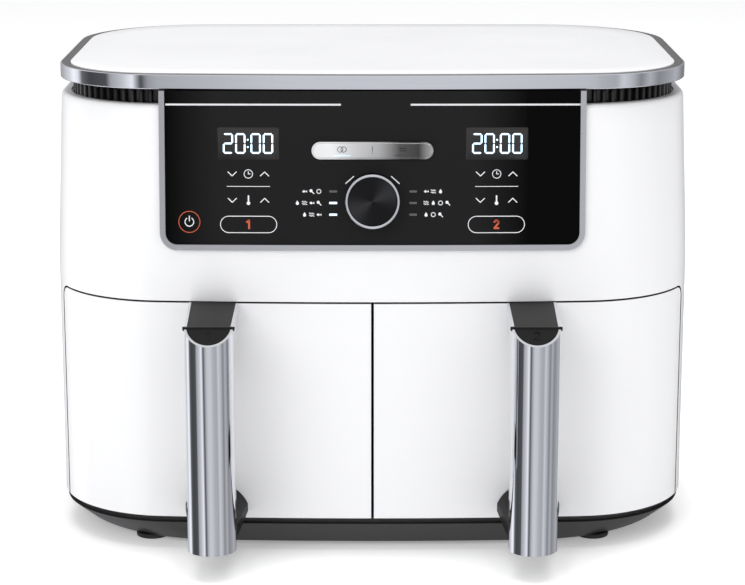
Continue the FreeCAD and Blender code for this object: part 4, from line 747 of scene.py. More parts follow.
def stroke(points, width, closed=False):
    """Four-cornered polygons along a line, a little longer than each step so that they overlap."""
    points = np.asarray(points, float)
    if closed:
        points = np.concatenate([points, points[:1]])
    polygons = []
    for start, finish in zip(points[:-1], points[1:]):
        along = finish - start
        along = along / np.linalg.norm(along)
        side = np.array([-along[1], along[0]]) * width / 2
        start, finish = start - along * width * 0.3, finish + along * width * 0.3
        polygons.append([start - side, finish - side, finish + side, start + side])
    return polygons


def arc_points(x, up, radius, first, last, count=24):
    """Points on an arc, angles in degrees from the +X side."""
    angle = np.radians(np.linspace(first, last, count))
    return np.column_stack([x + radius * np.cos(angle), up + radius * np.sin(angle)])


def pill_points(x, up, half, tall, count=12):
    """Outline of a pill: two half rounds joined by straight edges."""
    radius = tall / 2
    right = arc_points(x + half - radius, up, radius, -90, 90, count)
    left = arc_points(x - half + radius, up, radius, 90, 270, count)
    return np.concatenate([right, left])


def marks_piece(name, polygons, finish, out=0.00012, low=-0.0002, body="root"):
    """All marks of one finish as one piece, standing a little out of the glass."""
    return new_piece(name, [prism(polygon, low, out) for polygon in polygons], body, finish)


# ---------------------------------------------------------------- housing and drawers
def fold_levels(sizes, low, high, extra=()):
    """Heights of the rows of a wall: close together where the lean starts and at every edge."""
    soft = np.linspace(sizes.lean_start - 0.022, sizes.lean_start + 0.022, 12)
    spaced = np.linspace(low, high, 12)
    heights = np.concatenate([soft, spaced, np.array(extra, float), [low, high]])
    heights = np.unique(np.round(heights[(heights >= low) & (heights <= high)], 6))
    keep = [heights[0]]
    fixed = set(np.round([low, high] + list(extra), 6))
    for height in heights[1:]:
        if height - keep[-1] > 0.0015 or height in fixed:
            if height in fixed and height - keep[-1] < 0.0015 and keep[-1] not in fixed:
                keep.pop()
            keep.append(height)
    return keep


def wall_sheet(levels, places, keep):
    """One half of a wall as a grid of stations by levels (plan, inset, height); `keep` picks the quads by
    the station and the height of the middle of each."""
    rows = [
        np.column_stack([plan.points(places, inset), np.full(len(places), height)])
        for plan, inset, height in levels
    ]
    points = np.stack(rows)
    faces = grid_faces(len(rows), len(places))
    middle = (places[:-1] + places[1:]) / 2
    tall = np.array([height for plan, inset, height in levels])
    tall = (tall[:-1] + tall[1:]) / 2
    station, height = np.meshgrid(middle, tall)
    chosen = keep(station, height).reshape(-1)
    return points.reshape(-1, 3), [list(face) for face in faces[chosen]]


def seam_station(base, row):
    """Station of the side seam, on the round corner or on the straight side behind it."""
    if row < base.along:
        return station_of_y(base, row)
    return 2 + (row - base.along) / (base.rear - base.rear_corner - base.along)


def near_seam(base, row, radius):
    """Extra stations in front of the seam, close together at the seam itself, for the rounded corner."""
    spread = np.array([0.0, 0.04, 0.14, 0.3, 0.5, 0.75, 1.0]) * radius
    return [seam_station(base, row - step) for step in spread if row - step > base.front + 0.01]


def round_corner(points, columns, middle_y, radius, low, top, high):
    """Lowers the rows near `top` along a quarter round that ends upright at the seam: each point goes down by
    radius - sqrt(radius^2 - (radius - s)^2), where s is the run along the outline from the seam; the drop
    fades out to nothing at `low` and at `high`."""
    grid = points.reshape(-1, columns, 3).copy()
    steps = np.linalg.norm(np.diff(grid[0, :, :2], axis=0), axis=1)
    run = np.concatenate([[0.0], np.cumsum(steps)])
    seam_run = np.interp(middle_y, grid[0, :, 1], run)
    gone = np.clip(seam_run - run, 0.0, radius)
    short = radius - gone
    drop = radius - np.sqrt(np.maximum(radius * radius - short * short, 0.0))
    drop[run > seam_run + 1e-6] = 0.0
    height = grid[:, :, 2]
    below = np.clip((height - low) / (top - low), 0.0, 1.0)
    above = np.clip((high - height) / max(high - top, 1e-6), 0.0, 1.0)
    fade = np.where(height <= top + 1e-7, below, above)
    grid[:, :, 2] = height - drop * fade
    return grid.reshape(-1, 3)


class FRYER_OT_housing(bpy.types.Operator):
    """White housing: the bowed front above the drawers, leaning back, with the sides and the back"""

    bl_idname = "fryer.housing"
    bl_label = "Housing"

    def execute(self, context):
        settings = context.scene.fryer
        sizes, panel = settings.housing, settings.panel
        low, high = SHELL_LOW.z, SHELL_HIGH.z
        base = body_plan(low, sizes)
        turn = JOINTS["dial_turn"]["pos_m"]
        opening_low = turn[2] - panel.low + sizes.panel_low_room
        opening = panel.half + sizes.panel_room
        seam_row = FRONT_HIGH.y - sizes.seam_ahead + sizes.seam
        seam = seam_station(base, seam_row)
        side = station_of_x(base, opening)
        seam_round = sizes.drawer_round + sizes.seam
        cover_x = COVER_HIGH.x + EDGE_GAP
        cover_low, cover_high = COVER_LOW.z - EDGE_GAP, COVER_HIGH.z + EDGE_GAP
        cover = SEGMENTS - cover_x / (base.half - base.rear_corner)
        places = stations((30, 22, 16, 22, 8), [side, cover] + near_seam(base, seam_row, seam_round))
        places = places[(places == cover) | (np.abs(places - cover) > 0.04)]
        edges = (sizes.overhang, opening_low, cover_low, cover_high)
        heights = fold_levels(sizes, low, high - sizes.top_round, edges)
        levels = [(body_plan(height, sizes), 0.0, height) for height in heights]
        angle = np.linspace(0, math.pi / 2, settings.round_steps + 2)[1:]
        top = body_plan(high, sizes)
        radius = sizes.top_round
        for bend in angle:
            height = high - radius + radius * math.sin(bend)
            levels.append((top, radius - radius * math.cos(bend), height))
        levels.append((top, radius + sizes.top_flange, high))

        def keep(station, height):
            below = (height < sizes.overhang) & (station < seam)
            behind_panel = (height > opening_low) & (station < side)
            behind_cover = (station > cover) & (height > cover_low) & (height < cover_high)
            return ~(below | behind_panel | behind_cover)

        points, faces = wall_sheet(levels, places, keep)
        points.reshape(-1, len(places), 3)[:, np.argmax(places == cover), 0] = cover_x
        top = sizes.overhang
        half = round_corner(points, len(places), seam_row, seam_round, top - 0.04, top, top + 0.03), faces
        new_piece(
            "housing", [half, flipped(half)], "root", "white", ("upper_shell",),
            closed=False, wall=sizes.wall, edge=sizes.edge, rim="black",
        )
        return {"FINISHED"}


class FRYER_OT_drawer_fronts(bpy.types.Operator):
    """Two white drawer fronts that carry the bow and the round corner of the housing down to the base"""

    bl_idname = "fryer.drawer_fronts"
    bl_label = "Drawer fronts"

    def execute(self, context):
        sizes = context.scene.fryer.housing
        base = body_plan(FRONT_LOW.z, sizes)
        first = station_of_x(base, FRONT_LOW.x)
        seam_row = FRONT_HIGH.y - sizes.seam_ahead
        last = seam_station(base, seam_row)
        radius = sizes.drawer_round
        places = stations((30, 24, 16, 1, 1), [first] + near_seam(base, seam_row, radius))
        places = places[(places >= first - 1e-9) & (places <= last + 1e-9)]
        heights = np.linspace(FRONT_LOW.z, FRONT_HIGH.z, 10)
        levels = [(base, 0.0, height) for height in heights]
        points, faces = wall_sheet(levels, places, lambda station, height: station > 0)
        top = FRONT_HIGH.z
        half = round_corner(points, len(places), seam_row, radius, top - 0.04, top, top), faces
        for number, sign in ZONES:
            part = half if sign > 0 else flipped(half)
            name = f"drawer_front_{number}"
            new_piece(
                name + "_skin", [part], f"drawer_{number}", "white", (name,),
                closed=False, wall=sizes.wall, edge=sizes.edge, rim="black",
            )
        return {"FINISHED"}


# ---------------------------------------------------------------- lid and intake
class FRYER_OT_lid(bpy.types.Operator):
    """Dark rim, its bright band and the white top panel"""

    bl_idname = "fryer.lid"
    bl_label = "Lid"

    def execute(self, context):
        settings = context.scene.fryer
        sizes = settings.lid
        plan = lid_plan()
        low, high = BAND_LOW.z, BAND_HIGH.z
        steps = settings.round_steps
        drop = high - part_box("top_panel")[1].z
        edge = sizes.edge
        rises = [(math.sin(bend), math.cos(bend)) for bend in np.linspace(0, math.pi / 2, steps + 1)]
        ring = [(plan, sizes.band, low)]
        ring += [(plan, sizes.band + edge - edge * c, high - edge + edge * s) for s, c in rises]
        ring += [(plan, sizes.rim - edge + edge * s, high - edge + edge * c) for s, c in rises]
        ring.append((plan, sizes.rim, low))
        new_piece("rim", [swept_loop(ring, True)], "root", "rim", ("top_rim",))
        soft = sizes.band_edge
        outer = [(plan, soft - soft * c, high - soft + soft * s) for s, c in rises]
        band = [(plan, sizes.band, low), (plan, soft, low), (plan, 0.0, low + soft)] + outer
        band += [(plan, sizes.band, high)]
        new_piece("band", [swept_loop(band, True)], "root", "band", ("rim_band",))
        top = high - drop
        inner = sizes.rim + EDGE_GAP
        lid = [(plan, inner, top - sizes.panel_wall), (plan, inner, top - edge)]
        lid += [(plan, inner + edge - edge * c, top - edge + edge * s) for s, c in rises[1:]]
        lid += [(plan, inner + 0.02, top), (plan, inner + 0.05, top)]
        panel = capped(swept_loop(lid), len(lid))
        new_piece("lid_panel", [panel], "root", "white", ("top_panel",))
        return {"FINISHED"}


class FRYER_OT_intake(bpy.types.Operator):
    """Dark shelf and wall under the lid, with upright ribs all round but for the control panel"""

    bl_idname = "fryer.intake"
    bl_label = "Air intake"

    def execute(self, context):
        settings = context.scene.fryer
        sizes = settings.lid
        plan = lid_plan()
        low, high = SHELL_HIGH.z - 0.0006, BAND_LOW.z - 0.0001
        inset = sizes.neck
        wall = [(plan, inset + 0.003, low - 0.003), (plan, inset - 0.006, low - 0.003)]
        wall += [(plan, inset - 0.006, low), (plan, inset, low + 0.0002)]
        wall += [(plan, inset, high), (plan, inset + 0.003, high)]
        parts = [swept_loop(wall, True)]
        places = self.rib_stations(plan, inset, sizes.rib_pitch)
        width, depth = sizes.rib_width / 2, sizes.rib_depth
        section = [(-width, -0.0004), (-width, depth * 0.55), (-width * 0.55, depth)]
        section += [(width * 0.55, depth), (width, depth * 0.55), (width, -0.0004)]
        for point, outward in places:
            along = np.array([-outward[1], outward[0]])
            rows = []
            for height, short in ((low, 1.0), (low + 0.0006, 1.0), (high - 0.0012, 1.0), (high, 0.72)):
                ring = [point + along * a * short + outward * b * short for a, b in section]
                rows.append(np.column_stack([np.array(ring), np.full(len(ring), height)]))
            parts.append(stacked(rows))
        new_piece("intake", parts, "root", "neck", ("intake_neck",))
        return {"FINISHED"}

    def rib_stations(self, plan, inset, pitch):
        """Places of the ribs at even spacing along the outline, with the way out at each."""
        dense = stations((120, 60, 60, 60, 60))
        half = plan.points(dense, inset)
        loop = whole_loop(half)
        closed = np.concatenate([loop, loop[:1]])
        steps = np.linalg.norm(np.diff(closed, axis=0), axis=1)
        run = np.concatenate([[0.0], np.cumsum(steps)])
        count = int(round(run[-1] / pitch))
        wanted = (np.arange(count) + 0.5) * run[-1] / count

        def place(distance):
            return np.column_stack([np.interp(distance, run, closed[:, axis]) for axis in (0, 1)])

        here = place(wanted)
        along = place((wanted + 0.001) % run[-1]) - here
        along /= np.linalg.norm(along, axis=1)[:, None]
        outward = np.column_stack([along[:, 1], -along[:, 0]])
        panel = bpy.context.scene.fryer.panel
        return [
            (point, out) for point, out in zip(here, outward)
            if not (abs(point[0]) < panel.half + panel.strip + 0.002 and point[1] < 0)
        ]


# ---------------------------------------------------------------- control panel
def panel_outline(half, low, high, corner, steps=8):
    """Upright-cornered outline at the top and rounded below, as (across, up) from the dial."""
    right = arc_points(half - corner, -low + corner, corner, -90, 0, steps)
    left = arc_points(-half + corner, -low + corner, corner, 180, 270, steps)
    return np.concatenate([right, [[half, high]], [[-half, high]], left])


def bowed_plate(outline, holes, back, front, name, body, finish, stands_for, edge):
    """A plate of the panel plane with holes: its flat shape is filled, cut into strips along the bow, bent and
    given a back."""
    work = bmesh.new()
    for loop in [outline] + list(holes):
        vertices = [work.verts.new((x, up, 0.0)) for x, up in loop]
        for first, second in zip(vertices, vertices[1:] + vertices[:1]):
            work.edges.new((first, second))
    bmesh.ops.triangle_fill(work, use_beauty=True, use_dissolve=False, edges=work.edges)
    for cut in np.linspace(-0.15, 0.15, 61)[1:-1]:
        geometry = work.verts[:] + work.edges[:] + work.faces[:]
        bmesh.ops.bisect_plane(work, geom=geometry, plane_co=(float(cut), 0, 0), plane_no=(1, 0, 0), dist=1e-7)
    bmesh.ops.recalc_face_normals(work, faces=work.faces)
    if work.faces[:][0].normal.z < 0:
        bmesh.ops.reverse_faces(work, faces=work.faces)
    mesh = bpy.data.meshes.new(name)
    work.to_mesh(mesh)
    work.free()
    flat = np.zeros(len(mesh.vertices) * 3)
    mesh.vertices.foreach_get("co", flat)
    flat = flat.reshape(-1, 3)
    bent = panel_place(flat[:, 0], flat[:, 1], np.full(len(flat), front))
    mesh.vertices.foreach_set("co", bent.reshape(-1))
    mesh.update()
    item = bpy.data.objects.new(name, mesh)
    bpy.context.scene.collection.objects.link(item)
    smooth(item)
    solid = item.modifiers.new("wall", "SOLIDIFY")
    solid.thickness = front - back
    solid.offset = -1.0
    if edge:
        rounded = item.modifiers.new("edge", "BEVEL")
        rounded.width, rounded.segments = edge, 2
        rounded.limit_method, rounded.angle_limit = "ANGLE", math.radians(45.0)
        rounded.harden_normals = True
    return settle(item, body, finish, stands_for)


class FRYER_OT_panel(bpy.types.Operator):
    """Bowed black glass of the control panel with its holes, and the silver frame round three sides"""

    bl_idname = "fryer.panel"
    bl_label = "Control panel"

    def execute(self, context):
        sizes = context.scene.fryer.panel
        outline = panel_outline(sizes.half, sizes.low, sizes.high, sizes.corner)
        hole = arc_points(0, 0, sizes.dial_hole, 0, 360, 65)[:-1]
        gap = sizes.rocker_gap
        slot = pill_points(0, sizes.rocker_up, sizes.rocker + gap, sizes.rocker_tall + gap * 2)
        bowed_plate(
            outline, [hole, slot], -sizes.wall, 0.0, "glass", "root", "glass",
            ("panel_fascia",), 0.0003,
        )
        strip = sizes.strip
        outer = panel_outline(sizes.half + strip, sizes.low + strip, sizes.high, sizes.corner + strip)
        inner = panel_outline(sizes.half + 0.00015, sizes.low + 0.00015, sizes.high, sizes.corner)
        count = len(outer)
        half = count // 2
        loop = np.concatenate([outer[half:], outer[:half], inner[:half][::-1], inner[half:][::-1]])
        bowed_plate(
            loop, [], -0.0012, sizes.proud, "silver_frame", "root", "silver",
            ("panel_frame",), 0.00035,
        )
        return {"FINISHED"}


def seven_segments(digit):
    """Lit bars of a digit: top, upper left, upper right, middle, lower left, lower right, bottom."""
    return {
        "0": "1110111", "1": "0010010", "2": "1011101", "3": "1011011", "4": "0111010",
        "5": "1101011", "6": "1101111", "7": "1010010", "8": "1111111", "9": "1111011",
    }[digit]


def digit_bars(digit, x, up, wide, tall, bar):
    """Six-cornered bars of one digit whose lower left corner is at x, up."""
    half, gap, middle = bar / 2, bar * 0.12, tall / 2
    left, right, top = x + half, x + wide - half, up + tall - half

    def flat(level):
        a, b, low, high = left + gap, right - gap, level - half, level + half
        return [(a, level), (a + half, low), (b - half, low), (b, level), (b - half, high), (a + half, high)]

    def upright(place, first, last):
        a, b, near, far = first + gap, last - gap, place - half, place + half
        return [(place, a), (far, a + half), (far, b - half), (place, b), (near, b - half), (near, a + half)]

    low, mid = up + half, up + middle
    bars = (
        flat(top), upright(left, mid, top), upright(right, mid, top), flat(mid),
        upright(left, low, mid), upright(right, low, mid), flat(low),
    )
    return [shape for shape, on in zip(bars, seven_segments(digit)) if on == "1"]


def numeral(number, x, up, tall, width):
    """A plain 1 or 2 as strokes: a flag and a stem, or a round top, a slant and a foot."""
    if number == 1:
        stem = x + tall * 0.06
        flag = (x - tall * 0.22, up + tall * 0.28)
        return stroke([flag, (stem, up + tall * 0.5), (stem, up - tall * 0.5)], width)
    top = arc_points(x, up + tall * 0.24, tall * 0.25, 170, -30, 12)
    foot = np.array([(x - tall * 0.26, up - tall * 0.46), (x + tall * 0.28, up - tall * 0.46)])
    return stroke(np.concatenate([top, foot]), width)


def disc(x, up, radius, count=20):
    """Outline of a filled round spot."""
    return arc_points(x, up, radius, 0, 360, count + 1)[:-1]


def thermometer(x, up, tall):
    """Thermometer sign: a bulb, a bead and a stem."""
    bulb = disc(x, up - tall * 0.32, tall * 0.2)
    bead = pill_points(x, up + tall * 0.1, tall * 0.09, tall * 0.18)
    return [bulb, bead] + stroke([(x, up - tall * 0.3), (x, up + tall * 0.5)], tall * 0.16)


def clock(x, up, radius, width):
    """Clock sign: a ring and two hands."""
    ring = arc_points(x, up, radius, 0, 360, 25)[:-1]
    hands = stroke([(x, up + radius * 0.6), (x, up), (x + radius * 0.45, up)], width)
    return stroke(ring, width, True) + hands


class FRYER_OT_marks(bpy.types.Operator):
    """Display windows, digits, arrows, zone numbers, pictograms, lamps and the power button"""

    bl_idname = "fryer.marks"
    bl_label = "Panel marks"

    # places in the panel plane: across from the middle, and up from the dial
    WINDOW_X, WINDOW_HALF, WINDOW_LOW, WINDOW_HIGH = 0.0796, 0.0199, 0.0262, 0.0468
    DIGITS, DIGIT_START, DIGIT_STEPS = "2000", 0.0160, (0.0, 0.0079, 0.0177, 0.0256)
    DIGIT_LOW, DIGIT_WIDE, DIGIT_TALL, DIGIT_BAR = 0.0300, 0.0066, 0.0131, 0.00112
    COLUMN_X, ARROW_REACH, ARROW_HALF, ARROW_TIP = 0.0794, 0.0104, 0.0027, 0.0013
    ARROW_ROWS = ((0.0171, "clock"), (0.0002, "heat"))
    NUMBER_UP, PILL_HALF, PILL_TALL = -0.0153, 0.0181, 0.0106
    LAMP_ROWS, LAMP_HALF = (0.0060, -0.0014, -0.0089), 0.0007
    POWER_X, POWER_UP, POWER_RADIUS = -0.1175, -0.0138, 0.0068
    LINE_UP, LINES = 0.0613, ((-0.1319, -0.0205), (0.0247, 0.1325))

    def execute(self, context):
        self.windows()
        self.columns()
        self.programmes()
        self.middle()
        return {"FINISHED"}

    def windows(self):
        """The two display windows with their lit digits."""
        lit = []
        for sign in (-1, 1):
            middle = self.WINDOW_X * sign
            left, right = middle - self.WINDOW_HALF, middle + self.WINDOW_HALF
            box = panel_outline_box(left, right, self.WINDOW_LOW, self.WINDOW_HIGH, 0.0012)
            name = "display_window_left" if sign < 0 else "display_window_right"
            bowed_plate(box, [], -0.0003, 0.00005, name, "root", "window", (), 0.0)
            start = middle - self.DIGIT_START
            for step, digit in zip(self.DIGIT_STEPS, self.DIGITS):
                size = (self.DIGIT_WIDE, self.DIGIT_TALL, self.DIGIT_BAR)
                lit += digit_bars(digit, start + step, self.DIGIT_LOW, *size)
            for up in (0.0343, 0.0389):
                lit.append(disc(middle - 0.00005, up, 0.0006, 12))
        marks_piece("display_digits", lit, "digits", 0.00018, 0.00008)

    def columns(self):
        """Arrows and signs under each display, and the outlined zone number."""
        pale, orange = [], []
        for sign, number in ((-1, 1), (1, 2)):
            middle = self.COLUMN_X * sign
            for up, kind in self.ARROW_ROWS:
                for side, down in ((-1, True), (1, False)):
                    x = middle + side * self.ARROW_REACH
                    tip = -self.ARROW_TIP if down else self.ARROW_TIP
                    wings = [(x - self.ARROW_HALF, up - tip), (x, up + tip), (x + self.ARROW_HALF, up - tip)]
                    pale += stroke(wings, 0.00055)
                pale += (
                    clock(middle, up, 0.0027, 0.00045) if kind == "clock" else thermometer(middle, up, 0.0058)
                )
            pale += stroke([(middle - 0.0137, 0.0091), (middle + 0.0137, 0.0091)], 0.00035)
            outline = pill_points(middle, self.NUMBER_UP, self.PILL_HALF, self.PILL_TALL)
            pale += stroke(outline, 0.00045, True)
            orange += numeral(number, middle, self.NUMBER_UP, 0.0052, 0.0012)
        marks_piece("pale_marks", pale, "marks")
        marks_piece("zone_numbers", orange, "orange")

    def programmes(self):
        """Lamps beside the dial, each with a small sign for its programme."""
        lit, dim, signs = [], [], []
        for sign in (-1, 1):
            for row, up in enumerate(self.LAMP_ROWS):
                left, right = (-0.0277, -0.0226) if sign < 0 else (0.0236, 0.0284)
                box = panel_outline_box(left, right, up - self.LAMP_HALF, up + self.LAMP_HALF, 0.0004)
                (lit if sign < 0 and row > 0 else dim).append(box)
                start = 0.0325 * sign
                for step in range(3 + row % 2):
                    x = start + sign * (0.0018 + 0.0046 * step)
                    signs += self.sign(x, up, step + row + (sign > 0) * 2)
        marks_piece("lit_lamps", lit, "lamp")
        marks_piece("dark_lamps", dim, "dim")
        marks_piece("programme_signs", signs, "marks")

    def sign(self, x, up, kind):
        """One small sign, about 3 mm: a ring, a drumstick, a fish, waves or a drop."""
        kind %= 5
        if kind == 0:
            return stroke(arc_points(x, up, 0.0013, 0, 360, 17)[:-1], 0.0005, True)
        if kind == 1:
            bone = stroke([(x, up), (x + 0.0014, up - 0.0014)], 0.0006)
            return [disc(x - 0.0004, up + 0.0004, 0.0010, 14)] + bone
        if kind == 2:
            body = np.array([
                (-0.0015, 0.0), (-0.0004, 0.0009), (0.0007, 0.0), (0.0016, 0.0008), (0.0016, -0.0008),
                (0.0007, -0.0001), (-0.0004, -0.0009),
            ])
            return [body + (x, up)]
        if kind == 3:
            wave = np.linspace(-1, 1, 13)
            across, height = x + wave * 0.0015, up + np.sin(wave * 6) * 0.0004
            lines = [np.column_stack([across, height + shift]) for shift in (-0.0007, 0.0007)]
            return [quad for line in lines for quad in stroke(line, 0.00045)]
        drop = arc_points(x, up - 0.0003, 0.0010, 150, 390, 13)
        return [np.concatenate([drop, [[x, up + 0.0016]]])]

    def middle(self):
        """Ticks over the dial, the power button, and the two silver lines along the top."""
        pale, orange, silver = [], [], []
        for sign in (-1, 1):
            pale += stroke([(0.0171 * sign, 0.0111), (0.0120 * sign, 0.0156)], 0.0006)
        x, up = self.POWER_X, self.POWER_UP
        orange += stroke(arc_points(x, up, self.POWER_RADIUS, 0, 360, 41)[:-1], 0.0005, True)
        pale += stroke(arc_points(x, up, 0.0028, 125, 415, 19), 0.0006)
        pale += stroke([(x, up + 0.0038), (x, up + 0.0005)], 0.0006)
        marks_piece("dial_marks", pale, "marks")
        marks_piece("power_ring", orange, "orange")
        for first, last in self.LINES:
            x = np.linspace(first, last, 30)
            silver += stroke(np.column_stack([x, np.full(len(x), self.LINE_UP)]), 0.0012)
        # the silver lines are given a glow: a painted highlight, not a lamp
        marks_piece("silver_lines", silver, "metal_line_painted_glow", 0.0003)


def panel_outline_box(left, right, low, high, corner):
    """Rounded box as (across, up)."""
    corners = ((right - corner, low + corner, -90), (right - corner, high - corner, 0))
    corners += ((left + corner, high - corner, 90), (left + corner, low + corner, 180))
    return np.concatenate([arc_points(x, up, corner, first, first + 90, 5) for x, up, first in corners])


TURN_STEPS = 96


def turned(profile, steps=TURN_STEPS):
    """Surface of revolution about the dial axis: (radius, out of the face) rows turned all the way round."""
    angle = np.arange(steps) * 2 * math.pi / steps
    origin, normal, upward = panel_axes()
    round_about = ACROSS * np.cos(angle)[:, None] + upward * np.sin(angle)[:, None]
    rows = [origin + normal * out + round_about * radius for radius, out in profile]
    points = np.stack(rows).reshape(-1, 3)
    return points, [list(face) for face in grid_faces(len(rows), steps, True)]


class FRYER_OT_dial(bpy.types.Operator):
    """Dial with a turned black face in a bright ring"""

    bl_idname = "fryer.dial"
    bl_label = "Dial"

    def execute(self, context):
        sizes = context.scene.fryer.panel
        outer, wall, front = sizes.dial, sizes.dial_wall, sizes.dial_proud
        back = -0.0014
        edge = wall * 0.42
        ring = [(outer - 0.0001, back), (outer, back + 0.0004), (outer, front - edge)]
        rises = [(math.sin(bend), math.cos(bend)) for bend in np.linspace(0, math.pi / 2, 6)]
        ring += [(outer - edge + edge * c, front - edge + edge * s) for s, c in rises[1:]]
        ring += [(outer - wall + edge - edge * s, front - edge + edge * c) for s, c in rises]
        ring.append((outer - wall, back))
        points, faces = turned(ring)
        faces += [list(face) for face in self.joining(len(ring), TURN_STEPS)]
        new_piece("dial_ring_finish", [(points, faces)], "dial", "chrome", ("dial_ring",))
        inner = outer - wall - 0.00002
        face = [(inner, back), (inner, front - 0.0010), (inner - 0.0003, front - 0.0007)]
        face += [(inner * 0.5, front - 0.0009), (0.0004, front - 0.0010)]
        part = capped(turned(face), len(face))
        new_piece("dial_face", [part], "dial", "spun", ("dial_knob",))
        return {"FINISHED"}

    def joining(self, rows, steps):
        """Quads from the last row of a turned shape back to its first."""
        here = np.arange(steps)
        after = (here + 1) % steps
        last = (rows - 1) * steps
        return np.stack([here + last, after + last, after, here], axis=-1)


class FRYER_OT_rocker(bpy.types.Operator):
    """Long silver rocker above the dial, with a fine outline and two slit lamps"""

    bl_idname = "fryer.rocker"
    bl_label = "Rocker"

    def execute(self, context):
        sizes = context.scene.fryer.panel
        up, half, tall = sizes.rocker_up, sizes.rocker, sizes.rocker_tall
        front, back, edge = 0.002, -0.0024, 0.0006
        rows = [(0.0, back), (0.0, front - edge)]
        for bend in np.linspace(0, math.pi / 2, 5)[1:]:
            rows.append((edge - edge * math.cos(bend), front - edge + edge * math.sin(bend)))
        rings = []
        for inset, out in rows:
            outline = pill_points(0, up, half - inset, tall - inset * 2, 16)
            rings.append(rocker_place(outline[:, 0], outline[:, 1], out))
        new_piece("rocker_face", [stacked(rings)], "rocker", "rocker", ("mode_rocker",))
        outline = pill_points(0, up, half - 0.0009, tall - 0.0018, 16)
        # the fine outline glows: a painted highlight, not a lamp
        self.print_on("rocker_lines", stroke(outline, 0.0004, True), front, "silver_trim", "metal_line_painted_glow")
        tick = stroke([(0, up - 0.0026), (0, up + 0.0026)], 0.0004)
        self.print_on("rocker_tick", tick, front, "black_plastic", "black")
        lamps = [
            panel_outline_box(left, left + 0.0110, up - 0.0034, up - 0.0027, 0.0003)
            for left in (-0.0250, 0.0140)
        ]
        self.print_on("rocker_lamp", lamps[:1], front, "panel_glass", "lamp")
        self.print_on("rocker_dark_lamp", lamps[1:], front, "panel_glass", "dim")
        signs = []
        for shift in (-0.0011, 0.0011):
            ring = arc_points(-0.0195 + shift, up + 0.0008, 0.0017, 0, 360, 21)[:-1]
            bar = up + 0.0008 + shift * 0.7
            signs += stroke(ring, 0.00045, True)
            signs += stroke([(0.0175, bar), (0.0215, bar)], 0.0006)
        self.print_on("rocker_signs", signs, front, "black_plastic", "black")
        return {"FINISHED"}

    def print_on(self, name, polygons, front, slot, finish):
        """Marks on the face of the rocker, as one piece that moves with it."""
        parts = [rocker_prism(shape, front - 0.0001, front) for shape in polygons]
        new_piece(name, parts, "rocker", finish)


def rocker_place(x, up, out):
    """Points of the flat rocker: across, up from the dial, and out of the flat plane of the panel."""
    origin, normal, upward = panel_axes()
    return origin + np.asarray(x)[:, None] * ACROSS + np.asarray(up)[:, None] * upward + normal * out


def rocker_prism(polygon, low, high):
    """A flat polygon on the rocker given thickness."""
    polygon = np.asarray(polygon, float)
    return stacked([rocker_place(polygon[:, 0], polygon[:, 1], out) for out in (low, high)])


# ---------------------------------------------------------------- pieces that keep the CAD shape
class FRYER_OT_handles(bpy.types.Operator):
    """Bright handle shells, dark cores and caps with softened edges, and the zone number on each cap"""

    bl_idname = "fryer.handles"
    bl_label = "Handles"

    FALL = 0.7  # how steeply the cap falls towards the front

    def execute(self, context):
        pieces = (
            ("shell", "bright_metal", "chrome", 0.0004), ("core", "black_plastic", "black", 0.0005),
            ("cap", "black_plastic", "black", 0.0004),
        )
        for number, _ in ZONES:
            body = f"drawer_{number}"
            for part, slot, finish, edge in pieces:
                from_cad(f"handle_{number}_{part}", f"handle_{part}_{number}", body, finish, edge)
            self.cap_number(number, body)
            self.lip(number, body)
        return {"FINISHED"}

    def lip(self, number, body):
        """Dark lip across the handle where the neck meets the cap: a small bar with softened edges."""
        low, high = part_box(f"handle_cap_{number}")
        shell_low, shell_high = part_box(f"handle_shell_{number}")
        middle, half = (low.x + high.x) / 2, (shell_high.x - shell_low.x) / 2 + 0.0004
        section = np.array([
            (-0.0012, -0.0020), (0.0007, -0.0020), (0.0007, 0.0005), (-0.0008, 0.0005), (-0.0012, 0.0001),
        ])
        rings = []
        for x, short in ((-half, 0.6), (-half + 0.0005, 1.0), (half - 0.0005, 1.0), (half, 0.6)):
            ring = section * short + (high.y, high.z)
            rings.append(np.column_stack([np.full(len(ring), middle + x), ring]))
        new_piece(f"handle_{number}_lip", [stacked(rings)], body, "black")

    def cap_number(self, number, body):
        """The zone number, standing on the sloping cap: flat bars laid along the slope."""
        low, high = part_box(f"handle_cap_{number}")
        middle_x = (low.x + high.x) / 2
        fall = self.FALL
        slope = np.array([0.0, 1.0, fall]) / math.hypot(1.0, fall)
        normal = np.array([0.0, -fall, 1.0]) / math.hypot(1.0, fall)
        start = np.array([middle_x, high.y - 0.0056, high.z - 0.0056 * fall])
        tall = 0.0062
        parts = []
        for bar in numeral(number, 0.0, 0.0, tall, 0.0010):
            bar = np.asarray(bar)
            flat = start + bar[:, :1] * ACROSS + bar[:, 1:] * slope
            parts.append(stacked([flat - normal * 0.0004, flat + normal * 0.00025]))
        new_piece(f"handle_{number}_number", parts, body, "black")


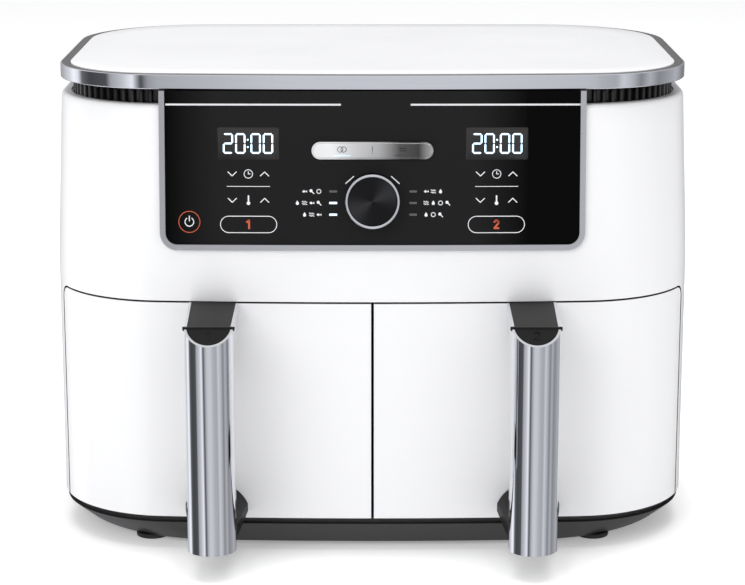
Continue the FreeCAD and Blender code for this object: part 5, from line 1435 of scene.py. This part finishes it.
class FRYER_OT_details(bpy.types.Operator):
    """Base, feet, rear cover, gland, screws, frame, pans and plates with softened edges and finishes"""

    bl_idname = "fryer.details"
    bl_label = "Base, back and inside"

    ROOT = (
        ("base_tray", "base_plastic", "base", 0.0006), ("rubber_feet", "foot_rubber", "rubber", 0.0005),
        ("rear_cover", "black_plastic", "black", 0.0004), ("case_screws", "screw_steel", "screw", 0.0),
        ("cord_gland", "black_plastic", "black", 0.0004), ("front_frame", "black_plastic", "black", 0.0003),
    )
    ZONE = (
        ("carrier", "drawer_carrier", "drawer", "black_plastic", "black", 0.0003),
        ("pan", "pan", "drawer", "pan_coating", "coat", 0.0003),
        ("plate", "crisper_plate", "crisper", "pan_coating", "coat", 0.0002),
        ("bumpers", "crisper_bumpers", "crisper", "silicone", "silicone", 0.0003),
    )

    def execute(self, context):
        for node, slot, finish, edge in self.ROOT:
            from_cad(node + "_finish", node, "root", finish, edge)
        for number, _ in ZONES:
            for name, node, body, slot, finish, edge in self.ZONE:
                item = f"{name}_{number}_finish"
                from_cad(item, f"{node}_{number}", f"{body}_{number}", finish, edge)
        return {"FINISHED"}


class FRYER_OT_finishes(bpy.types.Operator):
    """Finishes of the CAD pieces that are shown as they are"""

    bl_idname = "fryer.finishes"
    bl_label = "Finishes of the inner pieces"

    GROUPS = (
        ("steel", ("exhaust_duct", "motor_deck", "runner_rails")),
        ("steel", ("chamber_1", "chamber_2", "fan_guard_1", "fan_guard_2")),
        ("shaft", ("temperature_probes", "dial_stem", "motor_shaft_1", "motor_shaft_2")),
        ("board", ("power_board", "control_board")),
        ("black", ("dial_sleeve", "dial_encoder", "rocker_bracket", "rocker_switches")),
        ("window", ("display_modules",)),
        ("screw", ("handle_screws_1", "handle_screws_2")),
        ("heater", ("heating_element_1", "heating_element_2")),
        ("fan", ("hot_air_fan_1", "hot_air_fan_2")),
        ("pale", ("cooling_fan_1", "cooling_fan_2")),
        ("motor", ("motor_1", "motor_2")),
    )

    def execute(self, context):
        for finish, nodes in self.GROUPS:
            for node in nodes:
                mesh = frame["nodes"][node].data
                mesh.materials.clear()
                mesh.materials.append(material(finish))
        return {"FINISHED"}


# ---------------------------------------------------------------- light, floor and camera
class FRYER_OT_stage(bpy.types.Operator):
    """Pale floor, white surroundings with dark bands for the bright metal, soft lights and the camera"""

    bl_idname = "fryer.stage"
    bl_label = "Floor, light and camera"

    def execute(self, context):
        self.floor()
        self.world(context.scene)
        self.lights()
        self.camera(context.scene)
        return {"FINISHED"}

    def floor(self):
        """Wide pale floor, which the bright metal doesn't mirror."""
        size = 30.0
        mesh = bpy.data.meshes.new("floor")
        corners = [(-size, -size, 0.0), (size, -size, 0.0), (size, size, 0.0), (-size, size, 0.0)]
        mesh.from_pydata(corners, [], [(0, 1, 2, 3)])
        item = bpy.data.objects.new("floor", mesh)
        bpy.context.scene.collection.objects.link(item)
        finish, net = new_net("floor")
        cloud = net.noise(net.coordinates(), 3.0, 2.0)
        tone = net.blend(cloud, (0.92, 0.92, 0.92, 1.0), (0.95, 0.95, 0.95, 1.0))
        white = (1.0, 1.0, 1.0, 1.0)
        close_net(net, {
            "Base Color": tone, "Roughness": 0.9, "Specular IOR Level": 0.1, "Emission Color": white,
            "Emission Strength": 0.28,
        })
        mesh.materials.append(finish)
        item.visible_glossy = False

    def world(self, scene):
        """White to the camera; to everything else a bright surround with soft dark bands, by direction."""
        world = bpy.data.worlds.new("surround")
        scene.world = world
        world.use_nodes = True
        net = Net(world.node_tree)
        direction = net.add("ShaderNodeTexCoord").outputs["Generated"]
        split = net.add("ShaderNodeSeparateXYZ", None, {"Vector": direction})
        x, y, z = (Value(net, split.outputs[name]) for name in "XYZ")
        bearing = x.math("ARCTAN2", y * -1.0)
        ramp = net.add("ShaderNodeValToRGB", None, {"Fac": bearing * (0.5 / math.pi) + 0.5})
        shade(ramp, (
            (0.0, 0.40), (0.09, 0.60), (0.15, 1.00), (0.181, 1.44), (0.205, 1.20), (0.225, 0.20), (0.26, 0.09),
            (0.325, 0.12), (0.34, 0.55), (0.38, 0.85), (0.41, 1.30), (0.422, 0.60), (0.436, 0.07), (0.448, 0.40),
            (0.465, 0.66), (0.485, 0.88), (0.515, 0.90), (0.56, 0.66), (0.60, 0.60), (0.624, 0.92), (0.653, 0.70),
            (0.684, 0.36),
            (0.718, 0.66), (0.754, 0.38), (0.80, 0.50), (0.85, 0.65), (0.91, 0.30), (0.95, 0.35), (1.0, 0.40),
        ), (0.98, 0.99, 1.04))
        level = z.math("MAXIMUM", 0.0)
        sky = net.blend(level.math("MINIMUM", 1.0), ramp.outputs["Color"], (1.0, 1.0, 1.0, 1.0))
        light = net.add("ShaderNodeBackground", None, {"Color": sky, "Strength": 0.8})
        plain = net.add("ShaderNodeBackground", None, {"Color": (1.0, 1.0, 1.0, 1.0), "Strength": 1.0})
        seen = net.add("ShaderNodeLightPath").outputs["Is Camera Ray"]
        mix = net.add("ShaderNodeMixShader", None, {0: seen, 1: light.outputs[0], 2: plain.outputs[0]})
        net.add("ShaderNodeOutputWorld", None, {"Surface": mix.outputs[0]})

    def lights(self):
        """Three soft rectangular lamps: name, place, aim, width, height and power."""
        lamps = (
            ("key", (-1.1, -1.7, 1.3), (0.0, 0.0, 0.15), 1.3, 1.0, 10.5),
            ("fill", (1.5, -1.5, 0.8), (0.0, 0.0, 0.15), 1.2, 1.2, 0.8),
            ("top", (0.0, 0.2, 2.0), (0.0, 0.0, 0.2), 1.6, 1.2, 25.0),
        )
        for name, place, aim, wide, tall, power in lamps:
            data = bpy.data.lights.new(name, "AREA")
            data.shape = "RECTANGLE"
            data.size, data.size_y, data.energy = wide, tall, power
            item = bpy.data.objects.new(name, data)
            item.location = place
            heading = Vector(aim) - Vector(place)
            item.rotation_euler = heading.to_track_quat("-Z", "Y").to_euler()
            item.visible_glossy = False
            bpy.context.scene.collection.objects.link(item)

    def camera(self, scene):
        """Long lens, a little above the lid and tilted down."""
        data = bpy.data.cameras.new("camera")
        data.sensor_fit = "HORIZONTAL"
        data.sensor_width, data.lens = 36.0, 113.27
        item = bpy.data.objects.new("camera", data)
        item.location = (0.0, -1.58725, 0.520)
        item.rotation_euler = (math.radians(90.0 - 13.21), 0.0, 0.0)
        scene.collection.objects.link(item)
        scene.camera = item
        scene.view_settings.view_transform = "Standard"


# ---------------------------------------------------------------- add-on
class FRYER_PT_panel(bpy.types.Panel):
    """Lists the steps that build the air fryer"""

    bl_idname = "FRYER_PT_panel"
    bl_label = "Air fryer"
    bl_space_type = "VIEW_3D"
    bl_region_type = "UI"
    bl_category = "Air fryer"

    def draw(self, context):
        for step in STEPS:
            self.layout.operator(step.bl_idname)


STEPS = (
    FRYER_OT_housing, FRYER_OT_drawer_fronts, FRYER_OT_lid, FRYER_OT_intake, FRYER_OT_panel, FRYER_OT_marks,
    FRYER_OT_dial, FRYER_OT_rocker, FRYER_OT_handles, FRYER_OT_details, FRYER_OT_finishes, FRYER_OT_stage,
)
CLASSES = (HousingSizes, LidSizes, PanelSizes, Finishes, FryerSettings) + STEPS + (FRYER_PT_panel,)


def register():
    for item in CLASSES:
        bpy.utils.register_class(item)
    bpy.types.Scene.fryer = PointerProperty(type=FryerSettings)


def unregister():
    del bpy.types.Scene.fryer
    for item in reversed(CLASSES):
        bpy.utils.unregister_class(item)


def main():
    register()
    for step in STEPS:
        group, name = step.bl_idname.split(".")
        if getattr(getattr(bpy.ops, group), name)() != {"FINISHED"}:
            raise RuntimeError(f"{step.bl_label} did not finish")


if __name__ == "__main__":
    main()
